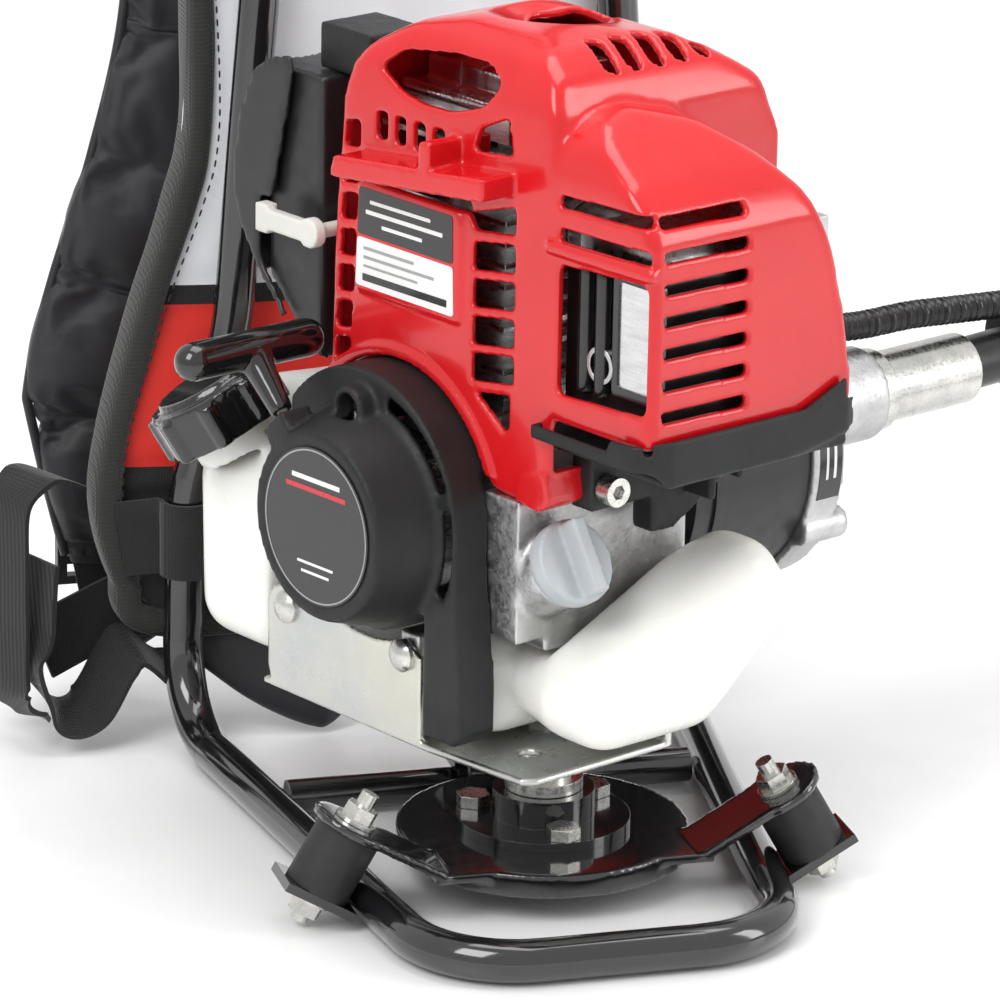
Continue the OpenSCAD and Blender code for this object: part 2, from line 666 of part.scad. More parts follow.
module fuel_tank() on_engine() color("ivory") difference() {
    union() {
        difference() {
            tank_lobes();
            rod(cap_at - 4 * cap_dir, cap_at + 30 * cap_dir, 27);
        }
        rod(cap_at - 12 * cap_dir, cap_at + 6 * cap_dir, 15);
    }
    rod(cap_at - 14 * cap_dir, cap_at + 10 * cap_dir, 12);
}

// Two lobes joined by a low base, which passes under the crankcase and behind the bracket
module tank_lobes() difference() {
    union() {
        rounded([[-37, 113, 72], [-35, -14, 71], [0, 113, 72], [0, -14, 71], [0, -14, 82], [0, 113, 82],
            [-37, 113, 82], [-35, -14, 82]], 10);
        rounded([[-34, -66, 82], [-34, -52, 82], [-32, -66, 90], [-30, -50, 88], [24, -66, 117], [24, -57, 117],
            [30, -66, 108], [30, -57, 108], [0, -66, 82], [0, -50, 86], [0, -20, 80], [-22, -20, 80]], 12);
        rounded([[-42, 108, 76], [-42, 86, 76], [-44, 107, 120], [-42, 86, 126], [22, 108, 86], [22, 108, 134],
            [-26, 108, 138], [22, 86, 136], [-26, 86, 138], [22, 86, 86]], 13);
    }
    block([-60, -42, 93], [60, 64.5, 160]);
    block([-60, -1, 76], [-28, 79.5, 160]);
    block([-60, -12, 50], [-45, 79, 140]);
    block([6.5, -60, 50], [60, 90, 74]);
}

module fuel_cap() on_engine() color("black") difference() {
    union() {
        rod(cap_at - 3.5 * cap_dir, cap_at + 13 * cap_dir, 21);
        for (i = [0 : 7]) aim(cap_at - 3.5 * cap_dir, cap_dir) rotate(i * 45) translate([20, 0, 0]) cylinder(r = 3.4, h = 15);
        rod(cap_at + 12 * cap_dir, cap_at + 15.5 * cap_dir, 17);
    }
    rod(cap_at - 5 * cap_dir, cap_at + 9 * cap_dir, 15.05);
}

module oil_cap() on_engine() {
    color("black") oil_axis(-3.9) cylinder(r = 13.4, h = 1.8);
    color("silver") {
        oil_axis(-2.1) cylinder(r = 14, h = 6);
        oil_axis(3.9) translate([-2.5, -12.5, -1]) cube([5, 25, 9]);
        oil_axis(-18) cylinder(r = 8.45, h = 16);
    }
}

module carburetor() on_engine() color("gray") difference() {
    union() {
        block([-13, crank_y + 36.2, 208], [15, 70, 236]);
        translate([0, 62, 200]) cylinder(r = 8.5, h = 9);
    }
    translate([0, 50, 224]) rotate([-90, 0, 0]) cylinder(r = 7, h = 60, center = true);
    translate([-40, 65, 213]) rotate([0, 90, 0]) cylinder(r = 2.5 + gap, h = 34);
}

module air_cleaner_case() on_engine() color("black") difference() {
    along_x(-38, 8) polygon([[72, 166], [86, 176.5], [100, 190.5], [100, 261.5], [72, 261.5]]);
    along_x(-35, 5) polygon([[75, 171], [85, 179.5], [96.5, 192], [101, 195], [101, 258], [75, 258.5]]);
    translate([0, 50, 224]) rotate([-90, 0, 0]) cylinder(r = 8, h = 60, center = true);
}

module air_filter() on_engine() color("dimgray")
    along_x(-33, 3) polygon([[79, 177], [85, 182], [95.5, 194], [98, 197], [98, 252], [79, 252]]);

module air_cleaner_cover() on_engine() color("black") {
    difference() {
        along_x(-42, 12) polygon([[100.2, 190.5], [101.8, 191.8], [112, 207], [114.8, 215], [114.8, 228],
            [112.3, 241.7], [104.5, 258.8], [100.2, 262]]);
        along_x(-39.6, 9.6) polygon([[99, 193], [101, 194.5], [109.8, 208], [112.4, 215.5], [112.4, 227.5],
            [110, 240.8], [102.5, 257.3], [99, 260]]);
    }
    along_x(-42, -39.6) polygon([[84, 267.5], [83.5, 262], [94, 217], [108, 217], [108.5, 209], [98.5, 193.5],
        [86.5, 179.5], [88, 177.5], [101.8, 191.8], [112, 207], [114.8, 215], [114.8, 228], [112.3, 241.7],
        [104.5, 258.8], [95.6, 265]]);
}

module choke_lever() on_engine() color("white") translate([-50, 65, 213]) rotate([0, 90, 0]) {
    cylinder(r = 2.5, h = 44);
    cylinder(r = 5, h = 4.5);
    translate([-3.5, 0, 0]) cube([7, 25, 4]);
    translate([-5, 21, 0]) cube([10, 6, 5]);
}

// ---------------------------------------------------------------- drive side
module flywheel() on_engine() color("silver") {
    difference() {
        crank_bar(-54, -44, 29.5);
        crank_bar(-60, -40, 8);
    }
    for (a = [0 : 30 : 330]) translate([-58, crank_y, crank_z]) rotate([a, 0, 0]) translate([0, -1, 12]) cube([4.2, 2, 17]);
}

module clutch_shoes() on_engine() color("silver") difference() {
    crank_bar(66, 77, 34);
    crank_bar(60, 80, 8.02);
    crank_bar(70, 78, 24);
    for (a = [0, 180]) translate([70, crank_y, crank_z]) rotate([a, 0, 0]) translate([0, -2, 12]) cube([30, 4, 30]);
}

module clutch_drum() on_engine() color("gray") {
    difference() {
        crank_bar(64, 82, 38);
        crank_bar(63, 79.5, 35.5);
    }
    crank_bar(82, 128, 7.5);
}

module drive_cover() on_engine() color("black") difference() {
    union() {
        crank_bar(37, 87.8, 50);
        translate([45, crank_y, crank_z]) rotate([0, 90, 0]) cylinder(r = 51, h = 4);
    }
    crank_bar(40, 62, 47);
    crank_bar(61, 90, 45);
    crank_bar(30, 70, 12);
    crank_bar(36, 41, 20);
}

module clutch_housing() on_engine() color("gainsboro") difference() {
    union() {
        crank_bar(88, 102, 52);
        translate([101, crank_y, crank_z]) rotate([0, 90, 0]) cylinder(r1 = 27, r2 = 17, h = 22);
        crank_bar(120, nose_x, 16.5);
        translate([88, -24, 107]) rotate([0, 90, 0]) cylinder(r = 5.5, h = 20);
    }
    crank_bar(87, 98, 42);
    crank_bar(90, 136, 7.5 + gap);
    crank_bar(128.5, nose_x + 1, 11.6);
    for (a = [20, 140, 200, 320]) translate([102, crank_y + 44 * cos(a), crank_z + 44 * sin(a)])
        rotate([0, 90, 0]) cylinder(r = 4.1, h = 20);
}

module hose_ferrule() on_engine() color("silver") difference() {
    union() {
        crank_bar(140, 176, 11.5);
        crank_bar(nose_x + 0.2, ferrule_x, 12.5);
        crank_bar(nose_x + 0.2, nose_x + 6, 14.5);
    }
    crank_bar(139, ferrule_x + 1, core_r + 1.5);
    translate([176, crank_y, crank_z]) rotate([0, 90 - atan(4 / 184), 0]) cylinder(r = hose_r + 0.1, h = 60);
}

module drive_hose() on_engine() color("black") difference() {
    bent_bar(hose_path, hose_bends, hose_r);
    bent_bar(hose_path, hose_bends, hose_bore_r);
}

module flex_core() on_engine() color("gray")
    bent_bar(concat([[130, crank_y, crank_z]], hose_path), concat([0, 300], [for (i = [1 : 5]) hose_bends[i]]), core_r);

module head_tube() on_engine() color("silver") translate(head_at) rotate([0, -90, 0]) difference() {
    union() {
        cylinder(r = head_r, h = head_len);
        translate([0, 0, -26]) cylinder(r1 = hose_r + 2.5, r2 = head_r, h = 26);
        translate([0, 0, -44]) cylinder(r = hose_r + 2.5, h = 18);
    }
    translate([0, 0, -45]) cylinder(r = hose_r + 0.1, h = 45.1);
    translate([0, 0, -1]) cylinder(r = core_r + 1, h = 20);
    translate([0, 0, 12]) cylinder(r = head_r - 3.5, h = head_len);
}

module head_tip() on_engine() color("silver") translate(head_at + [-head_len - 0.1, 0, 0]) rotate([0, -90, 0]) {
    intersection() {
        translate([0, 0, -8]) sphere(r = head_r + 2.5);
        cylinder(r = head_r, h = 30);
    }
}

module head_rotor() on_engine() color("gray") translate(head_at) rotate([0, -90, 0]) {
    translate([0, 0, 14]) cylinder(r = 5, h = head_len - 30);
    intersection() {
        translate([0, 0, 40]) cylinder(r = head_r - 5, h = head_len - 90);
        translate([0, -20, 30]) cube([20, 40, head_len]);
    }
}

grip_c = mix3(hose_path[0], hose_path[1], (grip_x - 176) / 184);
grip_dir = unit(hose_path[1] - hose_path[0]);

conduit_pts = [[16.5, 63, 222], [58, 63, 221], [88, 50, 204], [140, crank_y + 3, crank_z + 27],
    [239, crank_y, crank_z + 18.5]];

module throttle_conduit() on_engine() color("black") {
    for (i = [0 : 3]) rod(conduit_pts[i], conduit_pts[i + 1], conduit_r);
    for (i = [1 : 3]) translate(conduit_pts[i]) sphere(r = conduit_r + 0.3);
}

module grip_housing() on_engine() color("black") difference() {
    aim(grip_c - 24 * grip_dir, grip_dir) {
        cylinder(r = hose_r + 9, h = 62);
        for (z = [-3, 58]) translate([0, 0, z]) cylinder(r = hose_r + 12, h = 6);
    }
    aim(grip_c - 60 * grip_dir, grip_dir) cylinder(r = hose_r + 0.1, h = 140);
    translate(grip_c + [-19, -4.5, hose_r + 1]) cube([38, 9, 20]);
    translate(grip_c + [22, -5.5, hose_r + 4]) cube([8, 11, 12]);
}

module throttle_lever() on_engine() color("black") translate(grip_c + [-14, 0, hose_r + 6]) rotate([90, 0, 0]) {
    translate([0, 0, -4]) cylinder(r = 3.5, h = 8);
    translate([0, 0, -3.5]) linear_extrude(7) polygon([[0, -2], [20, 5], [31, 14], [27, 16], [16, 9], [0, 3.5]]);
}

module stop_switch() on_engine() color("orangered")
    translate(grip_c + [22.5, -5, hose_r + 6.2]) cube([7, 10, 5]);

// ---------------------------------------------------------------- starter
module starter_reel() on_engine() color("dimgray") difference() {
    union() {
        crank_bar(reel_x - 5, reel_x - 3, reel_r + 4);
        crank_bar(reel_x - 4, reel_x + 4, reel_r - rope_r - 0.3);
        crank_bar(reel_x + 3, reel_x + 5, reel_r + 4);
    }
    crank_bar(reel_x - 6, reel_x + 6, 4);
}

module starter_handle() on_engine() color("black") difference() {
    union() {
        hull() for (x = [-1, 1]) translate(grip_at + [x * 23, 0, 0]) sphere(r = 6.5, $fn = 32);
        aim(grip_at - 24 * pull_dir, pull_dir) cylinder(r1 = 3.8, r2 = 5.8, h = 24);
    }
    rod(grip_at - 30 * pull_dir, grip_at - 4 * pull_dir, rope_r + 0.05);
}

module starter_rope() on_engine() color("white") rod(rope_start, grip_at - 5 * pull_dir, rope_r);

frame_tube();
cross_tube();
rubber_mounts();
mount_studs();
turntable_plate();
hub_flange();
hub_bolts();
pivot_bush();
back_pad();
lumbar_pad();
shoulder_straps();
strap_webbing();
strap_buckles();
tube_loops();
pivot_post();
engine_bracket();
bracket_bolts();
crankcase();
engine_cylinder();  // cylinder
rocker_cover();
top_cover();
muffler();
heat_shield();
muffler_guard();
recoil_housing();
housing_screws();
fuel_tank();
carburetor();
air_cleaner_case();
air_filter();
air_cleaner_cover();
spark_plug();
plug_cap();
ignition_coil();
drive_cover();
clutch_housing();
hose_ferrule();
drive_hose();
throttle_conduit();
head_tube();
head_tip();
grip_housing();
crankshaft();
flywheel();
clutch_shoes();
clutch_drum();
flex_core();
head_rotor();
piston();
connecting_rod();
camshaft();
starter_reel();
starter_handle();
starter_rope();
fuel_cap();
oil_cap();
choke_lever();
throttle_lever();
stop_switch();
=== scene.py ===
import math

import bpy
import bmesh
import numpy as np
from mathutils import Matrix, Vector

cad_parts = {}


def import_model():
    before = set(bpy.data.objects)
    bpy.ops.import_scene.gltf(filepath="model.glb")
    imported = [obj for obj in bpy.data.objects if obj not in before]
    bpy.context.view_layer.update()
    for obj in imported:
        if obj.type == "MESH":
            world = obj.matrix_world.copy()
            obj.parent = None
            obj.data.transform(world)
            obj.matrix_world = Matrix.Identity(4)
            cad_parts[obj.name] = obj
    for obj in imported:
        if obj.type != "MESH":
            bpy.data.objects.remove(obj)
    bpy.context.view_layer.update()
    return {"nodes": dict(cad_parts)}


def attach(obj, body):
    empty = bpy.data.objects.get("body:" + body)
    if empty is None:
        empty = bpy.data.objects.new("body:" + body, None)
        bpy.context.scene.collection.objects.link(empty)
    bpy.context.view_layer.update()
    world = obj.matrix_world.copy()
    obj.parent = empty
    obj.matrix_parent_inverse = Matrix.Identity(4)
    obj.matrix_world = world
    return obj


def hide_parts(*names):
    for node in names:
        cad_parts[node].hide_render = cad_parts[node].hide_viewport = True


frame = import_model()
NODES = frame["nodes"]
YAW = math.radians(25)
CY, CZ = 19.5, 131.5          # crankshaft line in engine axes
SCROLL = (0, 21.5, 133.3)     # middle of the round fan housing


# ---------------------------------------------------------------- small helpers
def world(p, engine=True):
    """Millimetres in engine (or frame) axes to metres in the row frame."""
    x, y, z = p
    if engine:
        x, y = x * math.cos(YAW) - y * math.sin(YAW), x * math.sin(YAW) + y * math.cos(YAW)
    return (x / 1000, y / 1000, z / 1000)


def new_mesh(name, verts, faces, engine=True):
    me = bpy.data.meshes.new(name)
    me.from_pydata([world(v, engine) for v in verts], [], faces)
    me.update()
    ob = bpy.data.objects.new(name, me)
    bpy.context.scene.collection.objects.link(ob)
    bm = bmesh.new()
    bm.from_mesh(me)
    bmesh.ops.recalc_face_normals(bm, faces=bm.faces)
    bm.to_mesh(me)
    bm.free()
    return ob


def prism(pts, axis, a, b, name="tool", engine=True):
    """Closed prism: pts are (y, z) for axis x, (x, z) for axis y, (x, y) for axis z."""
    def at(p, h):
        return {"x": (h, p[0], p[1]), "y": (p[0], h, p[1]), "z": (p[0], p[1], h)}[axis]
    n = len(pts)
    verts = [at(p, a) for p in pts] + [at(p, b) for p in pts]
    faces = [list(range(n)), list(range(2 * n - 1, n - 1, -1))]
    faces += [[i, (i + 1) % n, n + (i + 1) % n, n + i] for i in range(n)]
    return new_mesh(name, verts, faces, engine)


def fillet(pts, r, seg=4):
    """Polygon with its corners rounded."""
    out = []
    n = len(pts)
    for i in range(n):
        p0, p, p1 = (np.array(pts[k % n], float) for k in (i - 1, i, i + 1))
        d0, d1 = p0 - p, p1 - p
        l0, l1 = np.linalg.norm(d0), np.linalg.norm(d1)
        rr = min(r, 0.45 * l0, 0.45 * l1)
        a, b = p + d0 / l0 * rr, p + d1 / l1 * rr
        for k in range(seg + 1):
            t = k / seg
            out.append(tuple((1 - t) ** 2 * a + 2 * t * (1 - t) * p + t * t * b))
    return out


def lathe(profile, origin, axis, seg=64, name="lathe", engine=True):
    """Closed solid of revolution: profile is (distance along axis, radius)."""
    ez = Vector(axis).normalized()
    side = Vector((1, 0, 0)) if abs(ez.x) < 0.9 else Vector((0, 1, 0))
    ex = side.cross(ez).normalized()
    ey = ez.cross(ex)
    o = Vector(origin)
    verts, faces = [], []
    for h, r in profile:
        for k in range(seg):
            t = 2 * math.pi * k / seg
            verts.append(o + ez * h + ex * (r * math.cos(t)) + ey * (r * math.sin(t)))
    n = len(profile)
    for i in range(n - 1):
        for k in range(seg):
            k1 = (k + 1) % seg
            faces.append([i * seg + k, i * seg + k1, (i + 1) * seg + k1, (i + 1) * seg + k])
    faces.append(list(range(seg))[::-1])
    faces.append([(n - 1) * seg + k for k in range(seg)])
    return new_mesh(name, verts, faces, engine)


def apply(ob, mod):
    """Applies one modifier through the evaluated mesh."""
    dg = bpy.context.evaluated_depsgraph_get()
    dg.update()
    me = bpy.data.meshes.new_from_object(ob.evaluated_get(dg))
    ob.modifiers.clear()
    old = ob.data
    ob.data = me
    bpy.data.meshes.remove(old)
    return ob


def boolean(ob, tool, op="DIFFERENCE"):
    m = ob.modifiers.new("b", "BOOLEAN")
    m.operation = op
    m.solver = "EXACT"
    m.object = tool
    apply(ob, m)
    bpy.data.objects.remove(tool, do_unlink=True)
    return ob


def join(*obs):
    """Joins meshes into the first one."""
    bm = bmesh.new()
    for o in obs:
        bm.from_mesh(o.data)
    bm.to_mesh(obs[0].data)
    bm.free()
    for o in obs[1:]:
        bpy.data.objects.remove(o, do_unlink=True)
    return obs[0]


def cut_all(ob, tools):
    """Cuts several tools that don't overlap each other in one go."""
    return boolean(ob, join(*tools))


def remesh(ob, voxel, steps=4, factor=0.5):
    m = ob.modifiers.new("r", "REMESH")
    m.mode = "VOXEL"
    m.voxel_size = voxel / 1000
    s = ob.modifiers.new("s", "SMOOTH")
    s.iterations = steps
    s.factor = factor
    apply(ob, s)
    shade(ob, 180)
    return ob


def shade(ob, angle=35):
    me = ob.data
    me.shade_smooth()
    if angle < 179:
        me.set_sharp_from_angle(angle=math.radians(angle))
    return ob


def copy_node(node, name):
    ob = bpy.data.objects.new(name, NODES[node].data.copy())
    bpy.context.scene.collection.objects.link(ob)
    ob.matrix_world = NODES[node].matrix_world.copy()
    ob.data.transform(ob.matrix_world)
    ob.matrix_world = Matrix.Identity(4)
    return ob


def finish_piece(ob, name, body, mat, node=None):
    ob.name = name
    ob.data.materials.clear()
    ob.data.materials.append(mat)
    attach(ob, body)
    if node:
        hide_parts(*([node] if isinstance(node, str) else node))
    return ob


def rounded_copy(node, body, mat, voxel=1.0, steps=4, factor=0.5):
    """The CAD node with its edges moulded round."""
    ob = remesh(copy_node(node, node + "_shell"), voxel, steps, factor)
    return finish_piece(ob, node + "_shell", body, mat, node)


def catmull(pts, n=12, closed=False):
    pts = [np.array(p, float) for p in pts]
    ext = [2 * pts[0] - pts[1]] + pts + [2 * pts[-1] - pts[-2]]
    out = []
    for i in range(len(pts) - 1):
        p0, p1, p2, p3 = ext[i:i + 4]
        for k in range(n):
            t = k / n
            out.append(0.5 * ((2 * p1) + (-p0 + p2) * t + (2 * p0 - 5 * p1 + 4 * p2 - p3) * t * t
                              + (-p0 + 3 * p1 - 3 * p2 + p3) * t ** 3))
    out.append(pts[-1])
    return out


def frames(path, side):
    """Tangent, width and thickness directions along a path; side is one vector or one for each point."""
    out = []
    for i, p in enumerate(path):
        t = path[min(i + 1, len(path) - 1)] - path[max(i - 1, 0)]
        t = t / np.linalg.norm(t)
        s = np.array(side[i] if np.ndim(side) == 2 else side, float)
        s = s - t * np.dot(s, t)
        s = s / np.linalg.norm(s)
        out.append((t, s, np.cross(t, s)))
    return out


def sweep(path, side, section, name, engine=False):
    """Sweeps a closed section of (width, thickness) points along a path."""
    path = [np.array(p, float) for p in path]
    fr = frames(path, side)
    length = np.concatenate([[0], np.cumsum([np.linalg.norm(path[i + 1] - path[i])
                                             for i in range(len(path) - 1)])])
    verts, faces, m = [], [], None
    for i, p in enumerate(path):
        sec = section(i, length[i], length[-1]) if callable(section) else section
        m = len(sec)
        for a, b in sec:
            verts.append(p + fr[i][1] * a + fr[i][2] * b)
    for i in range(len(path) - 1):
        for k in range(m):
            k1 = (k + 1) % m
            faces.append([i * m + k, i * m + k1, (i + 1) * m + k1, (i + 1) * m + k])
    faces.append(list(range(m))[::-1])
    faces.append([(len(path) - 1) * m + k for k in range(m)])
    ob = new_mesh(name, verts, faces, engine)
    return shade(ob, 50)


def flat_section(w, t, n=8):
    """Thin strip with a rectangular section."""
    pts = []
    for k in range(n + 1):
        pts.append((-w / 2 + w * k / n, -t / 2))
    for k in range(n + 1):
        pts.append((w / 2 - w * k / n, t / 2))
    return pts


def super_section(w, t, n=28, p=2.6):
    out = []
    for k in range(n):
        a = 2 * math.pi * k / n
        c, s = math.cos(a), math.sin(a)
        out.append((w / 2 * math.copysign(abs(c) ** (2 / p), c), t / 2 * math.copysign(abs(s) ** (2 / p), s)))
    return out


def noise3(p, seed=0.0):
    """Cheap smooth value between -1 and 1."""
    x, y, z = p
    return (math.sin(x * 1.7 + seed * 3.1 + 1.3 * math.sin(y * 1.3 + seed))
            + math.sin(y * 2.3 + seed * 1.7 + 1.1 * math.sin(z * 1.9))
            + math.sin(z * 1.1 - seed + 1.7 * math.sin(x * 0.9 + seed * 2))) / 3


# ---------------------------------------------------------------- materials
def material(name, color, rough=0.5, metal=0.0, coat=0.0, grain=900, bump=0.05, var=0.08, rough_var=0.08,
             edge=0.6,
             edge_color=None, streak=None, sub=0.0, spec=0.5, cloud=30, color2=None, bevel=0.5, sheen=0.0,
             aniso=0.0):
    """Procedural finish: mottled colour and roughness, a fine grain bump and worn, slightly rounded edges."""
    m = bpy.data.materials.new(name)
    m.use_nodes = True
    nt = m.node_tree
    nd, ln = nt.nodes, nt.links
    b = nd["Principled BSDF"]
    tc = nd.new("ShaderNodeTexCoord")

    def noise(scale, detail=3.0, rough_=0.6):
        n = nd.new("ShaderNodeTexNoise")
        n.inputs["Scale"].default_value = scale
        n.inputs["Detail"].default_value = detail
        n.inputs["Roughness"].default_value = rough_
        if streak:
            mp = nd.new("ShaderNodeMapping")
            mp.inputs["Scale"].default_value = streak
            ln.new(tc.outputs["Object"], mp.inputs["Vector"])
            ln.new(mp.outputs["Vector"], n.inputs["Vector"])
        else:
            ln.new(tc.outputs["Object"], n.inputs["Vector"])
        return n

    def ramp(src, lo, hi, p0=0.3, p1=0.7):
        r = nd.new("ShaderNodeMapRange")
        r.inputs["From Min"].default_value = p0
        r.inputs["From Max"].default_value = p1
        r.inputs["To Min"].default_value = lo
        r.inputs["To Max"].default_value = hi
        ln.new(src, r.inputs["Value"])
        return r.outputs["Result"]

    big = noise(cloud)
    mix = nd.new("ShaderNodeMix")
    mix.data_type = "RGBA"
    c2 = color2 or [min(1, c * (1 + var * 2) + var * 0.02) for c in color]
    mix.inputs["A"].default_value = (*[c * (1 - var) for c in color], 1)
    mix.inputs["B"].default_value = (*c2, 1)
    ln.new(ramp(big.outputs["Fac"], 0, 1), mix.inputs["Factor"])
    col = mix.outputs["Result"]
    fine = noise(grain, 4.0, 0.65)
    bn = nd.new("ShaderNodeBump")
    bn.inputs["Strength"].default_value = min(1.0, bump * 4)
    bn.inputs["Distance"].default_value = bump / 1000
    ln.new(fine.outputs["Fac"], bn.inputs["Height"])
    if bevel:
        bv = nd.new("ShaderNodeBevel")
        bv.samples = 4
        bv.inputs["Radius"].default_value = bevel / 1000
        ln.new(bv.outputs["Normal"], bn.inputs["Normal"])
        if edge_color:
            geo = nd.new("ShaderNodeNewGeometry")
            dot = nd.new("ShaderNodeVectorMath")
            dot.operation = "DOT_PRODUCT"
            ln.new(bv.outputs["Normal"], dot.inputs[0])
            ln.new(geo.outputs["Normal"], dot.inputs[1])
            wear = ramp(dot.outputs["Value"], edge, 0, 0.9, 0.995)
            em = nd.new("ShaderNodeMix")
            em.data_type = "RGBA"
            em.inputs["B"].default_value = (*edge_color, 1)
            ln.new(wear, em.inputs["Factor"])
            ln.new(col, em.inputs["A"])
            col = em.outputs["Result"]
    ln.new(col, b.inputs["Base Color"])
    ln.new(bn.outputs["Normal"], b.inputs["Normal"])
    mid = noise(cloud * 6)
    ln.new(ramp(mid.outputs["Fac"], max(0.02, rough - rough_var), min(1, rough + rough_var)),
           b.inputs["Roughness"])
    b.inputs["Metallic"].default_value = metal
    b.inputs["Coat Weight"].default_value = coat
    b.inputs["Coat Roughness"].default_value = 0.06
    b.inputs["Specular IOR Level"].default_value = spec
    b.inputs["Anisotropic"].default_value = aniso
    if sub:
        b.inputs["Subsurface Weight"].default_value = sub
        b.inputs["Subsurface Radius"].default_value = (0.02, 0.016, 0.011)
        b.inputs["Subsurface Scale"].default_value = 0.5
    if sheen:
        b.inputs["Sheen Weight"].default_value = sheen
        b.inputs["Sheen Roughness"].default_value = 0.4
    return m


def weave(name, color, scale=700, rough=0.85, bump=0.25, sheen=0.3, color2=None, wrinkle=0.0, rib=1.0):
    """Woven cloth: crossed yarns in the bump and colour, with broad soft variation."""
    m = bpy.data.materials.new(name)
    m.use_nodes = True
    nt = m.node_tree
    nd, ln = nt.nodes, nt.links
    b = nd["Principled BSDF"]
    tc = nd.new("ShaderNodeTexCoord")
    hs = []
    for direction in ("X", "Z"):
        w = nd.new("ShaderNodeTexWave")
        w.bands_direction = direction
        w.inputs["Scale"].default_value = scale * (1 if direction == "X" else rib)
        w.inputs["Distortion"].default_value = 0.6
        w.inputs["Detail"].default_value = 1
        ln.new(tc.outputs["Object"], w.inputs["Vector"])
        hs.append(w.outputs["Fac"])
    add = nd.new("ShaderNodeMath")
    add.operation = "MAXIMUM"
    ln.new(hs[0], add.inputs[0])
    ln.new(hs[1], add.inputs[1])
    n = nd.new("ShaderNodeTexNoise")
    n.inputs["Scale"].default_value = 60
    n.inputs["Detail"].default_value = 5
    ln.new(tc.outputs["Object"], n.inputs["Vector"])
    mix = nd.new("ShaderNodeMix")
    mix.data_type = "RGBA"
    mix.inputs["A"].default_value = (*[c * 0.75 for c in color], 1)
    mix.inputs["B"].default_value = (*(color2 or [min(1, c * 1.25 + 0.004) for c in color]), 1)
    comb = nd.new("ShaderNodeMath")
    comb.operation = "MULTIPLY_ADD"
    comb.inputs[1].default_value = 0.6
    ln.new(add.outputs[0], comb.inputs[0])
    half = nd.new("ShaderNodeMath")
    half.operation = "MULTIPLY"
    half.inputs[1].default_value = 0.4
    ln.new(n.outputs["Fac"], half.inputs[0])
    ln.new(half.outputs[0], comb.inputs[2])
    ln.new(comb.outputs[0], mix.inputs["Factor"])
    ln.new(mix.outputs["Result"], b.inputs["Base Color"])
    bn = nd.new("ShaderNodeBump")
    bn.inputs["Strength"].default_value = 0.8
    bn.inputs["Distance"].default_value = bump / 1000
    ln.new(add.outputs[0], bn.inputs["Height"])
    if wrinkle:
        wn = nd.new("ShaderNodeTexNoise")
        wn.inputs["Scale"].default_value = 45
        wn.inputs["Detail"].default_value = 3
        wn.inputs["Distortion"].default_value = 0.8
        ln.new(tc.outputs["Object"], wn.inputs["Vector"])
        b2 = nd.new("ShaderNodeBump")
        b2.inputs["Strength"].default_value = 0.7
        b2.inputs["Distance"].default_value = wrinkle / 1000
        ln.new(wn.outputs["Fac"], b2.inputs["Height"])
        ln.new(b2.outputs["Normal"], bn.inputs["Normal"])
    ln.new(bn.outputs["Normal"], b.inputs["Normal"])
    b.inputs["Roughness"].default_value = rough
    b.inputs["Sheen Weight"].default_value = sheen
    b.inputs["Sheen Roughness"].default_value = 0.35
    b.inputs["Specular IOR Level"].default_value = 0.35
    return m


